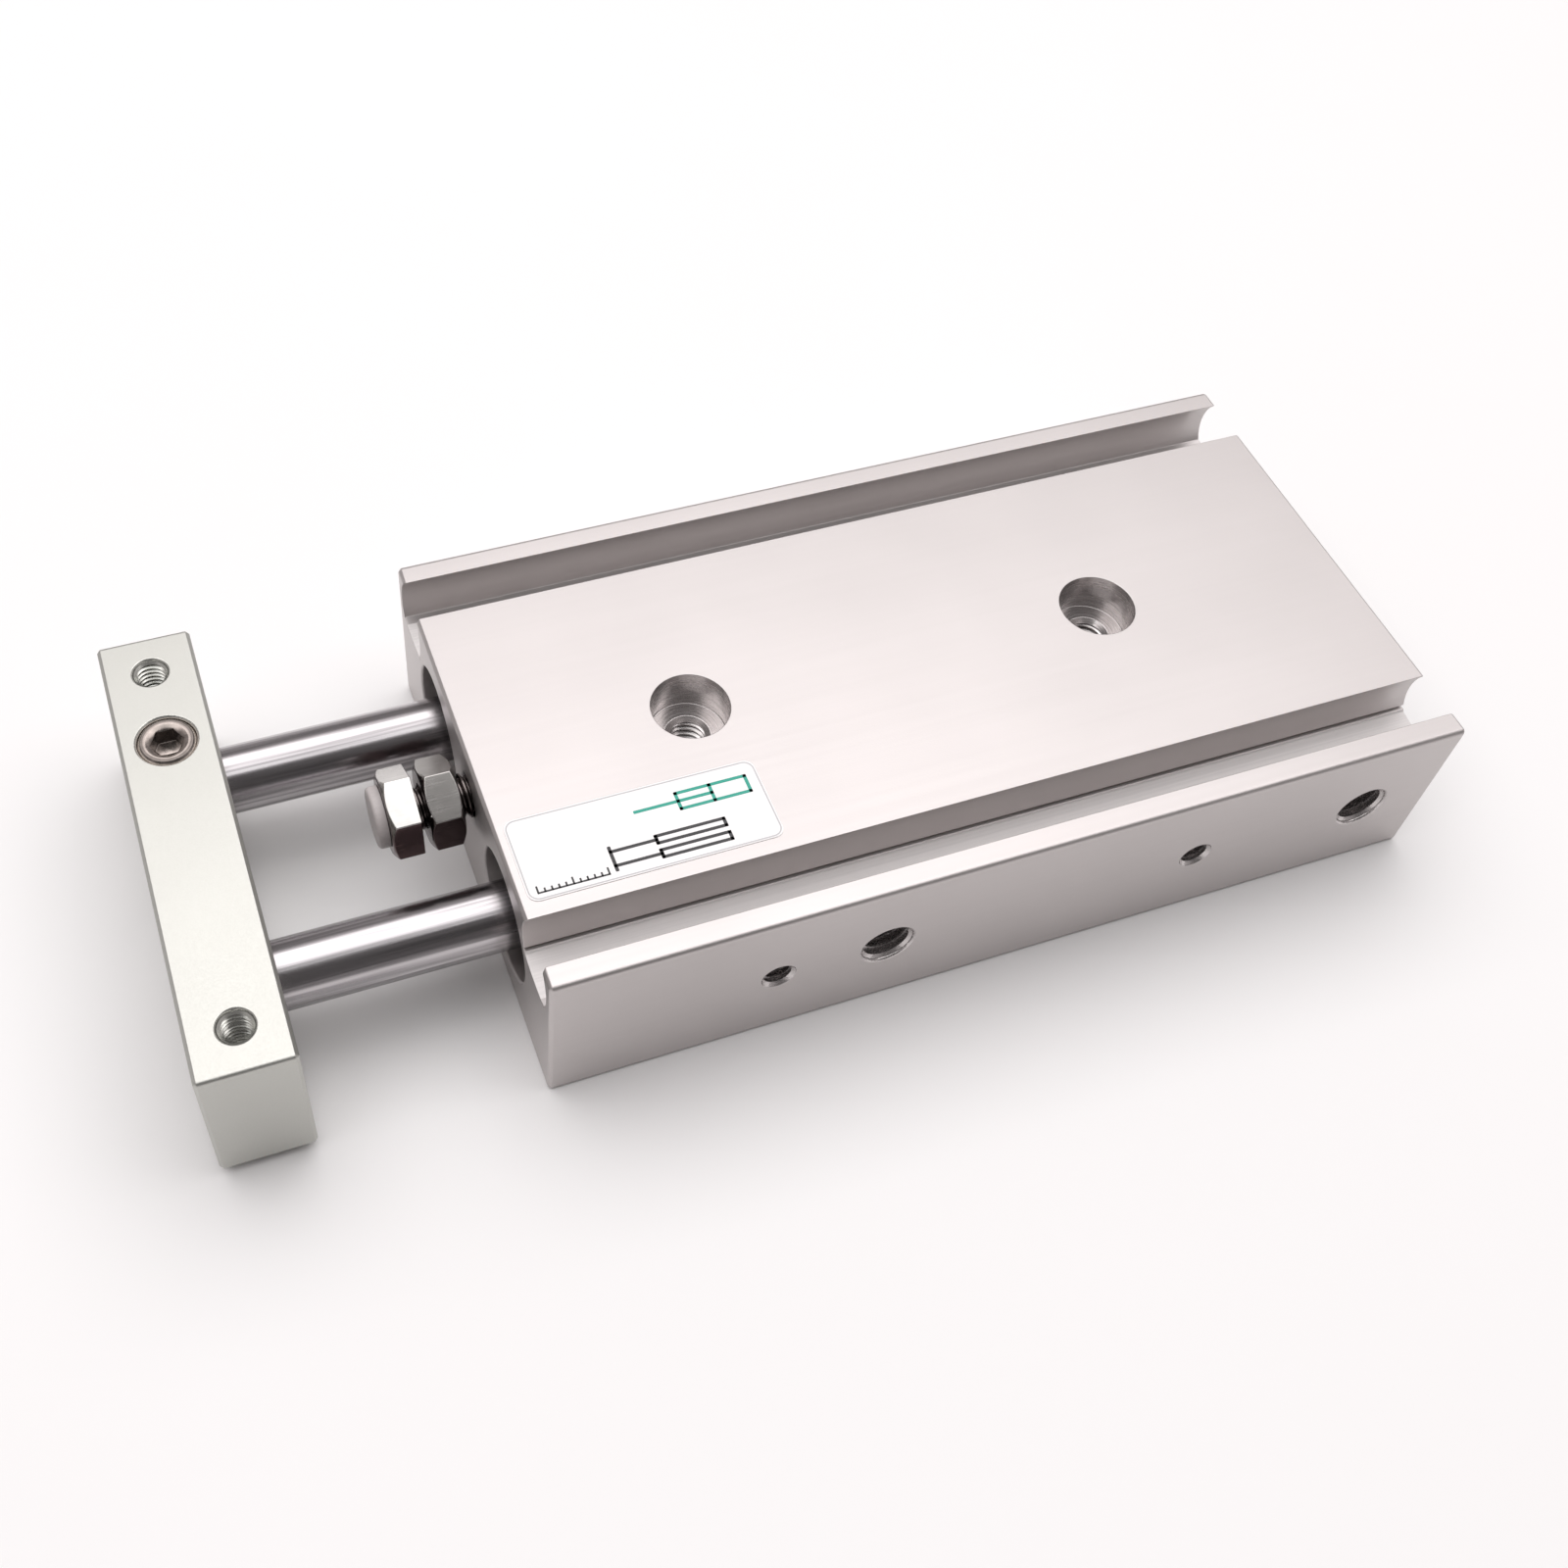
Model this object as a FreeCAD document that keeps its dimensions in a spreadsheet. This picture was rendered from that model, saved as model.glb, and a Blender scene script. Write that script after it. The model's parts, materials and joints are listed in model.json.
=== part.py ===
import FreeCAD, Part
import os
import re
import Sketcher

# Guided pneumatic cylinder: two pistons in one flat extruded body drive two rods and the plate
# that joins them. +X points from the body to the plate, +Y to the air ports, +Z up. The origin
# lies on the mounting face, halfway between the two mounting holes.

# Driving dimensions, in millimetres and degrees.
SIZES = {
    # Extruded body
    "body_width": 46.0,
    "body_height": 17.0,
    "body_length": 85.0,
    "front_to_hole": 20.0,
    "mount_pitch": 40.0,
    "axis_height": 8.5,
    "rod_from_side": 12.7,
    "body_corner": 0.5,
    "body_end_break": 0.3,
    # Sensor slots along both sides of the top face
    "slot_rail": 2.2,
    "slot_mouth": 4.4,
    "slot_depth": 5.2,
    "slot_swell_inner": 0.7,
    "slot_swell_outer": 1.2,
    "slot_swell_depth": 3.3,
    "slot_foot_inner": 0.3,
    "slot_foot_outer": 0.6,
    "slot_dish": 0.25,
    "slot_seam": 0.3,
    "slot_seam_depth": 0.35,
    "slot_ledge": 0.3,
    "slot_ledge_round": 0.2,
    # Bores
    "bore_dia": 10.0,
    "seat_dia": 11.8,
    "front_seat": 27.5,
    "rear_seat": 6.0,
    "mouth_break": 0.15,
    # Holes of the body
    "mount_tap": 3.3,
    "mount_thread": 4.0,
    "mount_counterbore": 7.0,
    "mount_counterbore_depth": 4.0,
    "side_tap": 2.5,
    "side_tap_depth": 4.5,
    "side_tap_mouth": 3.1,
    "port_tap": 4.2,
    "port_mouth": 5.1,
    "port_depth": 5.2,
    "front_port_inset": 30.0,
    "rear_port_inset": 7.5,
    "passage_dia": 2.0,
    "stopper_height": 12.2,
    "stopper_hole_depth": 12.5,
    # Fits
    "running_gap": 0.03,
    "slip_gap": 0.02,
    "end_gap": 0.05,
    # Snap rings in both ends of the bores
    "snap_inset": 1.5,
    "snap_thickness": 0.8,
    "snap_groove_depth": 0.3,
    "snap_width": 1.1,
    "snap_opening": 50.0,
    "snap_ear_dia": 2.2,
    "snap_eye_dia": 1.0,
    # Rod covers and head covers
    "seal_pocket_dia": 9.4,
    "seal_pocket_depth": 3.4,
    "retainer_thickness": 0.6,
    "o_ring_section": 1.1,
    "o_ring_squeeze": 0.2,
    "o_ring_room": 0.3,
    "cover_o_ring_inset": 7.0,
    "cushion_thickness": 1.5,
    "cushion_dia": 9.2,
    "head_bumper_dia": 6.0,
    "head_bumper_thickness": 1.6,
    "head_bumper_recess": 0.6,
    # Rods, pistons and what they carry
    "rod_dia": 6.0,
    "rod_end_break": 0.3,
    "stroke": 30.0,
    "plate_gap": 19.2,
    "piston_clearance": 0.05,
    "piston_nose_dia": 7.5,
    "piston_nose": 2.2,
    "piston_land": 1.4,
    "piston_groove": 2.4,
    "piston_groove_dia": 7.2,
    "piston_skirt": 3.0,
    "journal_dia": 4.0,
    "spigot_dia": 6.4,
    "magnet_dia": 9.2,
    "magnet_length": 4.5,
    "washer_dia": 9.6,
    "washer_thickness": 1.0,
    "piston_nut_flats": 7.0,
    "piston_nut_thickness": 2.4,
    "journal_overhang": 0.5,
    # End plate
    "plate_side_inset": 1.0,
    "plate_bottom": 1.0,
    "plate_top": 16.0,
    "plate_thickness": 8.0,
    "plate_corner": 0.4,
    "screwed_rod_seat": 2.5,
    "clamped_rod_seat": 6.0,
    "plate_hole_inset": 4.0,
    "plate_tap": 2.5,
    "plate_tap_mouth": 3.3,
    "tooling_tap": 2.5,
    "tooling_tap_depth": 5.0,
    "tooling_pitch_y": 9.0,
    "tooling_pitch_z": 8.0,
    # Plate screws
    "cap_screw_dia": 3.0,
    "cap_screw_head_dia": 5.5,
    "cap_screw_head": 3.0,
    "cap_screw_sink": 0.3,
    "cap_screw_reach": 8.0,
    "cap_screw_socket": 2.5,
    "cap_screw_socket_depth": 1.5,
    "cap_counterbore_dia": 6.0,
    "set_screw_dia": 5.0,
    "set_screw_mouth": 5.4,
    "set_screw_bite": 0.3,
    "set_screw_socket": 2.5,
    "set_screw_socket_depth": 1.8,
    "set_screw_socket_mouth": 3.6,
    # Stroke stopper
    "stopper_dia": 4.0,
    "stopper_flats": 7.0,
    "stopper_head_gap": 4.85,
    "stopper_head": 2.6,
    "stopper_reach": 10.0,
    "stopper_turn": 36.0,
    "lock_nut_gap": 1.1,
    "lock_nut_thickness": 3.0,
    "lock_nut_turn": 30.0,
    "stopper_pad_dia": 5.4,
    "stopper_pad": 1.0,
    "stopper_pad_edge": 0.4,
    "stopper_stem_dia": 4.0,
    "stopper_stem": 1.2,
}

doc = FreeCAD.newDocument("GuidedCylinder")
sheet = doc.addObject("Spreadsheet::Sheet", "Sizes")
for row, (alias, size) in enumerate(SIZES.items(), start=1):
    sheet.set(f"A{row}", alias)
    sheet.set(f"B{row}", str(size))
    sheet.setAlias(f"B{row}", alias)
doc.recompute()

# Places across the middle, as formulas of the sheet's sizes.
ROD = "(body_width / 2 - rod_from_side)"
SLOT = "(body_width / 2 - slot_rail - slot_mouth)"
PLATE_EDGE = "(body_width / 2 - plate_side_inset)"

# Places along X.
FRONT = "(mount_pitch / 2 + front_to_hole)"
REAR = f"({FRONT} - body_length)"
PLATE = f"({FRONT} + plate_gap)"
STOPPER_TIP = "(stopper_head_gap + stopper_head + stopper_pad + end_gap)"
EXTENDED_PISTON = "(front_seat + cushion_thickness + end_gap)"
DRAWN_OUT = f"(plate_gap - {STOPPER_TIP} - end_gap)"
PISTON = f"({FRONT} - {EXTENDED_PISTON} - stroke + {DRAWN_OUT})"
COVER_FACE = "(snap_inset + snap_thickness)"
COVER_LENGTH = f"(front_seat - {COVER_FACE})"
HEAD_LENGTH = f"(rear_seat - {COVER_FACE})"
PISTON_LENGTH = "(piston_nose + piston_land + piston_groove + piston_skirt)"
JOURNAL = (
    f"({PISTON_LENGTH} + magnet_length + washer_thickness"
    " + piston_nut_thickness + journal_overhang)"
)
PLATE_SCREW_SEAT = "(plate_thickness - cap_screw_head - cap_screw_sink)"
O_RING_GROOVE = "(o_ring_section - o_ring_squeeze)"

# The rods lie on both sides of the middle.
SIDES = (("left", 1), ("right", -1))


def formula(text):
    """The text with the name of each size pointed at its cell of the sheet."""
    return re.sub(r"[a-z]\w*", lambda word: f"Sizes.{word[0]}" if word[0] in SIZES else word[0], str(text))


def number(text):
    """What a formula comes to."""
    return float(sheet.evalExpression(formula(text)))


def bind(item, path, text):
    """Tie a property of an object to a formula."""
    item.setExpression(path, formula(text))


def origin_item(body, role):
    """A body's own origin plane or axis."""
    return next(item for item in body.Origin.OriginFeatures if item.Role == role)


def new_body(label, x=0, y=0, z=0):
    """An empty body whose origin lies at the place given."""
    body = doc.addObject("PartDesign::Body", label)
    body.Label = label
    for letter, text in (("x", x), ("y", y), ("z", z)):
        bind(body, f"Placement.Base.{letter}", text)
    return body


def new_sketch(body, role, name, x=0, y=0, z=0):
    """A sketch on an origin plane of the body, moved along that plane's own three directions."""
    sketch = body.newObject("Sketcher::SketchObject", f"{body.Name}_{name}_sketch")
    sketch.AttachmentSupport = [(origin_item(body, role), "")]
    sketch.MapMode = "FlatFace"
    for letter, text in (("x", x), ("y", y), ("z", z)):
        bind(sketch, f"AttachmentOffset.Base.{letter}", text)
    return sketch


def pin(sketch, point, u, v):
    """Hold a point of a sketch at a place given by two formulas."""
    for kind, axis, text in (("DistanceX", -2, u), ("DistanceY", -1, v)):
        if text == 0:
            sketch.addConstraint(Sketcher.Constraint("PointOnObject", *point, axis))
        else:
            index = sketch.addConstraint(Sketcher.Constraint(kind, -1, 1, *point, number(text)))
            bind(sketch, f"Constraints[{index}]", text)


def outline(sketch, corners):
    """A closed loop. A corner's third entry is a point that the arc to that corner passes through."""
    places = [FreeCAD.Vector(number(corner[0]), number(corner[1]), 0) for corner in corners]
    first = sketch.GeometryCount
    arcs = []
    for index, corner in enumerate(corners):
        if len(corner) == 3:
            through = FreeCAD.Vector(number(corner[2][0]), number(corner[2][1]), 0)
            side = sketch.addGeometry(Part.Arc(places[index - 1], through, places[index]))
            arcs.append((side, through, corner[2]))
        else:
            sketch.addGeometry(Part.LineSegment(places[index - 1], places[index]))

    def end_at(side, place):
        to_start = sketch.getPoint(side, 1).distanceToPoint(place)
        to_end = sketch.getPoint(side, 2).distanceToPoint(place)
        return (side, 1) if to_start < to_end else (side, 2)

    for index, corner in enumerate(corners):
        arriving = end_at(first + index, places[index])
        leaving = end_at(first + (index + 1) % len(corners), places[index])
        sketch.addConstraint(Sketcher.Constraint("Coincident", *arriving, *leaving))
        pin(sketch, arriving, corner[0], corner[1])
    for side, through, texts in arcs:
        mark = sketch.addGeometry(Part.Point(through), True)
        sketch.addConstraint(Sketcher.Constraint("PointOnObject", mark, 1, side))
        pin(sketch, (mark, 1), *texts)


def circle(sketch, u, v, diameter):
    """A circle held by its centre and its diameter."""
    centre = FreeCAD.Vector(number(u), number(v), 0)
    round_line = Part.Circle(centre, FreeCAD.Vector(0, 0, 1), number(diameter) / 2)
    side = sketch.addGeometry(round_line)
    pin(sketch, (side, 3), u, v)
    index = sketch.addConstraint(Sketcher.Constraint("Diameter", side, number(diameter)))
    bind(sketch, f"Constraints[{index}]", diameter)


def hexagon(flats, turn=0):
    """The six corners of a hexagon, by its width across flats and how far it is turned."""
    reach = f"{flats} / sqrt(3)"
    angles = [f"({turn} + {60 * step})" for step in range(6)]
    return [(f"{reach} * cos({angle})", f"{reach} * sin({angle})") for angle in angles]


def mirrored(corners):
    """The same corners across the sketch's vertical axis, in reverse order."""
    bows = [corner[2:] for corner in corners[1:]] + [()]
    turned_over = []
    for corner, bow in zip(corners, bows):
        turned_over.append((f"-({corner[0]})", corner[1], *((f"-({u})", v) for u, v in bow)))
    return turned_over[::-1]


def pad(body, sketch, length, reverse=False):
    """Extrude a sketch."""
    feature = body.newObject("PartDesign::Pad", sketch.Name.replace("_sketch", "_pad"))
    feature.Profile = sketch
    feature.Reversed = reverse
    bind(feature, "Length", length)
    return feature


def pocket(body, sketch, length):
    """Cut a sketch into the body, away from the sketch's normal."""
    feature = body.newObject("PartDesign::Pocket", sketch.Name.replace("_sketch", "_pocket"))
    feature.Profile = sketch
    bind(feature, "Length", length)
    return feature


# For each direction of a turned form: the sketch plane, the sketch axis to turn about, and how a
# place in the body reads along that plane's own directions.
TURNING = {
    "X": ("XY_Plane", "H_Axis", lambda x, y, z: (x, y, z)),
    "Y": ("XY_Plane", "V_Axis", lambda x, y, z: (x, y, z)),
    "Z": ("XZ_Plane", "V_Axis", lambda x, y, z: (x, z, f"-({y})")),
}


def revolved(kind, body, name, corners, axis, x, y, z):
    """Turn half a section about an axis through the place given."""
    role, line, along_plane = TURNING[axis]
    sketch = new_sketch(body, role, name, *along_plane(x, y, z))
    outline(sketch, corners)
    feature = body.newObject(f"PartDesign::{kind}", f"{body.Name}_{name}")
    feature.Profile = sketch
    feature.ReferenceAxis = (sketch, [line])
    feature.Angle = 360
    return feature


def turned(label, corners, x, y, z, axis="X"):
    """A turned part with its own origin at the place given."""
    body = new_body(label, x, y, z)
    revolved("Revolution", body, "turn", corners, axis, 0, 0, 0)
    return body


def bored(body, name, corners, axis, x=0, y=0, z=0):
    """A turned hole."""
    return revolved("Groove", body, name, corners, axis, x, y, z)


def mirror_across_middle(body, feature):
    """The same feature on the other side of the middle."""
    copy = body.newObject("PartDesign::Mirrored", f"{feature.Name}_mirrored")
    copy.Originals = [feature]
    copy.MirrorPlane = (origin_item(body, "XZ_Plane"), [""])
    body.Tip = copy
    return copy


def repeat_along_x(body, feature, length):
    """The same feature once more, further along X."""
    copy = body.newObject("PartDesign::LinearPattern", f"{feature.Name}_repeated")
    copy.Originals = [feature]
    copy.Direction = (origin_item(body, "X_Axis"), [""])
    copy.Occurrences = 2
    bind(copy, "Length", length)
    body.Tip = copy
    return copy


def break_edges(body, feature, chosen, size):
    """Chamfer the edges of a feature that the test picks."""
    doc.recompute()
    edges = [f"Edge{index}" for index, edge in enumerate(feature.Shape.Edges, start=1) if chosen(edge)]
    chamfer = body.newObject("PartDesign::Chamfer", f"{feature.Name}_break")
    chamfer.Base = (feature, edges)
    bind(chamfer, "Size", size)
    return chamfer


def straight_across(edge, places):
    """True for a straight edge that lies in one of the planes across X at the places given."""
    box = edge.BoundBox
    across = any(abs(box.XMin - place) < 1e-4 and abs(box.XMax - place) < 1e-4 for place in places)
    return across and edge.Curve.TypeId == "Part::GeomLine"


def body_section():
    """The extrusion's section: a slab with a swelled sensor slot beside each top edge.

    A seam runs along the foot of each slot's inner wall, over a ledge with a round nose.
    """
    half_width = "body_width / 2"
    near_arc = "body_corner * (1 - cos(45))"
    slot_outer = "(body_width / 2 - slot_rail)"
    slot_floor = "(body_height - slot_depth)"
    wall_foot = f"({SLOT} - slot_foot_inner)"
    ledge_top = f"({slot_floor} + slot_ledge_round)"
    half = [
        (f"{half_width} - body_corner", 0),
        (half_width, "body_corner", (f"{half_width} - {near_arc}", near_arc)),
        (half_width, "body_height - body_corner"),
        (
            f"{half_width} - body_corner",
            "body_height",
            (f"{half_width} - {near_arc}", f"body_height - {near_arc}"),
        ),
        (slot_outer, "body_height"),
        (
            f"{slot_outer} + slot_foot_outer",
            slot_floor,
            (f"{slot_outer} + slot_swell_outer", "body_height - slot_swell_depth"),
        ),
        (
            f"{wall_foot} + slot_ledge",
            slot_floor,
            (f"{SLOT} + slot_mouth / 2", f"{slot_floor} - slot_dish"),
        ),
        (
            f"{wall_foot} + slot_ledge - slot_ledge_round",
            ledge_top,
            (
                f"{wall_foot} + slot_ledge - slot_ledge_round * (1 - cos(45))",
                f"{slot_floor} + slot_ledge_round * sin(45)",
            ),
        ),
        (f"{wall_foot} - slot_seam_depth", ledge_top),
        (f"{wall_foot} - slot_seam_depth", f"{ledge_top} + slot_seam"),
        (wall_foot, f"{ledge_top} + slot_seam"),
        (
            SLOT,
            "body_height",
            (f"{SLOT} - slot_swell_inner", "body_height - slot_swell_depth"),
        ),
    ]
    return half + mirrored(half)


def bore_section():
    """Half a section of a bore: cover seat, snap ring groove and step at each end."""
    seat = "seat_dia / 2"
    groove = "(seat_dia / 2 + snap_groove_depth)"
    ends = []
    for face, inward, depth in ((0, "-", "front_seat"), ("-body_length", "+", "rear_seat")):
        groove_start = f"{face} {inward} snap_inset"
        groove_stop = f"{face} {inward} {COVER_FACE}"
        shoulder = f"{face} {inward} {depth}"
        ends.append(
            [
                (face, 0),
                (face, f"{seat} + mouth_break"),
                (f"{face} {inward} mouth_break", seat),
                (groove_start, seat),
                (groove_start, groove),
                (groove_stop, groove),
                (groove_stop, seat),
                (shoulder, seat),
                (shoulder, "bore_dia / 2"),
            ]
        )
    front, rear = ends
    return front + rear[::-1]


def port_section(inner_end):
    """Half a section of an air port and the passage that goes on to the far bore."""
    port, passage, mouth = "port_tap / 2", "passage_dia / 2", "port_mouth / 2"
    return [
        (0, "body_width / 2"),
        (mouth, "body_width / 2"),
        (port, f"body_width / 2 - ({mouth} - {port})"),
        (port, "body_width / 2 - port_depth"),
        (passage, "body_width / 2 - port_depth"),
        (passage, inner_end),
        (0, inner_end),
    ]


def mount_section():
    """Half a section of a mounting hole: tapped through, counterbored from above."""
    tap, thread, head = "mount_tap / 2", "mount_thread / 2", "mount_counterbore / 2"
    shoulder = "(body_height - mount_counterbore_depth)"
    lead = f"({thread} - {tap})"
    return [
        (0, 0),
        (thread, 0),
        (tap, lead),
        (tap, f"{shoulder} - {lead}"),
        (thread, shoulder),
        (head, shoulder),
        (head, "body_height"),
        (0, "body_height"),
    ]


def body_block():
    body = new_body("body_block")
    section = new_sketch(body, "YZ_Plane", "section", z=FRONT)
    outline(section, body_section())
    extrusion = pad(body, section, "body_length", reverse=True)
    ends = (number(FRONT), number(REAR))
    shortest = number("slot_rail / 2")
    break_edges(
        body,
        extrusion,
        lambda edge: straight_across(edge, ends) and edge.Length > shortest,
        "body_end_break",
    )

    bore = bored(body, "bore", bore_section(), "X", FRONT, ROD, "axis_height")
    mirror_across_middle(body, bore)
    far_bore = f"-({ROD} - bore_dia / 4)"
    for name, place in (
        ("front_port", f"{FRONT} - front_port_inset"),
        ("rear_port", f"{REAR} + rear_port_inset"),
    ):
        bored(body, name, port_section(far_bore), "Y", place, 0, "axis_height")

    mount = bored(body, "mount_hole", mount_section(), "Z", "-mount_pitch / 2")
    repeat_along_x(body, mount, "mount_pitch")

    side = new_sketch(body, "XZ_Plane", "side_tap", y="axis_height", z="-body_width / 2")
    for place in ("mount_pitch / 2", "-mount_pitch / 2"):
        circle(side, place, 0, "side_tap")
    doc.recompute()
    taps = body.newObject("PartDesign::Hole", "body_block_side_taps")
    taps.Profile = side
    doc.recompute()
    taps.Reversed = True
    taps.DepthType = "Dimension"
    taps.HoleCutType = "Countersink"
    taps.HoleCutCountersinkAngle = 90
    bind(taps, "Diameter", "side_tap")
    bind(taps, "Depth", "side_tap_depth")
    bind(taps, "HoleCutDiameter", "side_tap_mouth")
    mirror_across_middle(body, taps)

    shank = "stopper_dia / 2 + running_gap"
    stopper_hole = [
        (0, 0),
        (0, shank),
        ("-stopper_hole_depth", shank),
        (f"-stopper_hole_depth - ({shank}) * tan(30)", 0),
    ]
    bored(body, "stopper_hole", stopper_hole, "X", FRONT, 0, "stopper_height")
    return body


def rod_cover(label, y):
    """The long guide at the front of a bore, with the seal's pocket in its outer end."""
    outer, pocket_wall = "(seat_dia / 2 - slip_gap)", "seal_pocket_dia / 2"
    guide = "rod_dia / 2 + running_gap"
    groove_start = "-cover_o_ring_inset"
    groove_stop = "-cover_o_ring_inset - o_ring_section - o_ring_room"
    groove_floor = f"{outer} - {O_RING_GROOVE}"
    corners = [
        (0, pocket_wall),
        (0, f"{outer} - mouth_break"),
        ("-mouth_break", outer),
        (groove_start, outer),
        (groove_start, groove_floor),
        (groove_stop, groove_floor),
        (groove_stop, outer),
        (f"-{COVER_LENGTH} + mouth_break", outer),
        (f"-{COVER_LENGTH}", f"{outer} - mouth_break"),
        (f"-{COVER_LENGTH}", guide),
        ("-seal_pocket_depth", guide),
        ("-seal_pocket_depth", pocket_wall),
    ]
    return turned(label, corners, f"{FRONT} - {COVER_FACE}", y, "axis_height")


def rod_seal(label, y):
    """A lip seal that opens towards the air chamber."""
    outer = "(seal_pocket_dia / 2 - slip_gap)"
    inner = "(rod_dia / 2 + running_gap)"
    middle = f"({outer} + {inner}) / 2"
    groove = f"({outer} - {inner}) / 5"
    length = "(seal_pocket_depth - retainer_thickness)"
    corners = [
        (0, inner),
        (0, outer),
        (f"-{length}", outer),
        (f"-{length}", f"{middle} + {groove}"),
        (f"-{length} / 2", middle),
        (f"-{length}", f"{middle} - {groove}"),
        (f"-{length}", inner),
    ]
    place = f"{FRONT} - {COVER_FACE} - retainer_thickness"
    return turned(label, corners, place, y, "axis_height")


def seal_retainer(label, y):
    """The washer that keeps the rod seal in its pocket."""
    outer, inner = "seal_pocket_dia / 2 - slip_gap", "rod_dia / 2 + 10 * running_gap"
    corners = [
        (0, inner),
        (0, outer),
        ("-retainer_thickness", outer),
        ("-retainer_thickness", inner),
    ]
    return turned(label, corners, f"{FRONT} - {COVER_FACE}", y, "axis_height")


def o_ring(label, x, y):
    """A ring squeezed flat between the floor of its groove and the wall of the bore."""
    radius = f"({O_RING_GROOVE} / 2)"
    reach = f"({radius} / cos(22.5))"
    centre = f"(seat_dia / 2 - slip_gap - {radius})"
    angles = [22.5 + 45 * step for step in range(8)]
    corners = [(f"{reach} * cos({angle})", f"{centre} + {reach} * sin({angle})") for angle in angles]
    return turned(label, corners, x, y, "axis_height")


def snap_ring(label, x, y):
    """A flat spring ring with two eared ends, open at the bottom."""
    outer = "(seat_dia / 2 + snap_groove_depth - slip_gap)"
    inner = f"({outer} - snap_width)"
    angle = "(snap_opening / 2)"
    corners = [
        (f"{outer} * sin({angle})", f"-{outer} * cos({angle})"),
        (f"-{outer} * sin({angle})", f"-{outer} * cos({angle})", (0, outer)),
        (f"-{inner} * sin({angle})", f"-{inner} * cos({angle})"),
        (f"{inner} * sin({angle})", f"-{inner} * cos({angle})", (0, inner)),
    ]
    body = new_body(label, x, y, "axis_height")
    ring = new_sketch(body, "YZ_Plane", "ring")
    outline(ring, corners)
    pad(body, ring, "snap_thickness")
    reach = f"({inner} - snap_ear_dia / 2 + snap_width / 2)"
    for name, diameter, shape in (("ears", "snap_ear_dia", pad), ("eyes", "snap_eye_dia", pocket)):
        sketch = new_sketch(body, "YZ_Plane", name, z=0 if shape is pad else "snap_thickness")
        for sign in ("", "-"):
            circle(sketch, f"{sign}{reach} * sin({angle})", f"-{reach} * cos({angle})", diameter)
        shape(body, sketch, "snap_thickness")
    return body


def cushion(label, y):
    """The soft ring behind the rod cover, where the piston lands at full stroke."""
    inner, outer = "rod_dia / 2 + 10 * running_gap", "cushion_dia / 2"
    corners = [
        (0, inner),
        (0, outer),
        ("-cushion_thickness", outer),
        ("-cushion_thickness", inner),
    ]
    return turned(label, corners, f"{FRONT} - front_seat", y, "axis_height")


def head_cover(label, y):
    """The plug that closes the rear of a bore."""
    outer = "(seat_dia / 2 - slip_gap)"
    middle = f"{HEAD_LENGTH} / 2"
    half_groove = "(o_ring_section + o_ring_room) / 2"
    groove_floor = f"{outer} - {O_RING_GROOVE}"
    recess = "head_bumper_dia / 2 + slip_gap"
    corners = [
        (0, 0),
        (0, f"{outer} - mouth_break"),
        ("mouth_break", outer),
        (f"{middle} - {half_groove}", outer),
        (f"{middle} - {half_groove}", groove_floor),
        (f"{middle} + {half_groove}", groove_floor),
        (f"{middle} + {half_groove}", outer),
        (HEAD_LENGTH, outer),
        (HEAD_LENGTH, recess),
        (f"{HEAD_LENGTH} - head_bumper_recess", recess),
        (f"{HEAD_LENGTH} - head_bumper_recess", 0),
    ]
    return turned(label, corners, f"{REAR} + {COVER_FACE}", y, "axis_height")


def head_bumper(label, y):
    """The soft button in the head cover's inner face."""
    radius = "head_bumper_dia / 2"
    corners = [
        (0, 0),
        (0, radius),
        ("head_bumper_thickness - mouth_break", radius),
        ("head_bumper_thickness", f"{radius} - mouth_break"),
        ("head_bumper_thickness", 0),
    ]
    return turned(label, corners, f"{REAR} + rear_seat - head_bumper_recess", y, "axis_height")


def piston_rod(label, y, seat, front_end):
    """A rod from its seat in the plate to the end of the piston's journal."""
    radius, journal = "rod_dia / 2", "journal_dia / 2"
    corners = [
        *front_end,
        (0, radius),
        (0, journal),
        (f"-{JOURNAL} + rod_end_break", journal),
        (f"-{JOURNAL}", f"{journal} - rod_end_break"),
        (f"-{JOURNAL}", 0),
    ]
    return turned(label, corners, PISTON, y, "axis_height")


def screwed_end():
    """The front end of the rod that the cap screw pulls into the plate."""
    end = f"({PLATE} + screwed_rod_seat - {PISTON})"
    bottom = f"({end} - cap_screw_reach)"
    hole = "(cap_screw_dia / 2 + slip_gap)"
    return [
        (f"{bottom} - {hole} * tan(30)", 0),
        (bottom, hole),
        (end, hole),
        (end, "rod_dia / 2 - rod_end_break"),
        (f"{end} - rod_end_break", "rod_dia / 2"),
    ]


def clamped_end():
    """The front end of the rod that the set screw clamps, with a neck for the screw's tip."""
    end = f"({PLATE} + clamped_rod_seat - {PISTON})"
    neck = "(rod_dia / 2 - set_screw_bite)"
    screw = f"({PLATE} + plate_thickness / 2 - {PISTON})"
    neck_start = f"({screw} - set_screw_dia / 2)"
    return [
        (end, 0),
        (end, neck),
        (f"{neck_start} + set_screw_bite", neck),
        (neck_start, "rod_dia / 2"),
    ]


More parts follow.
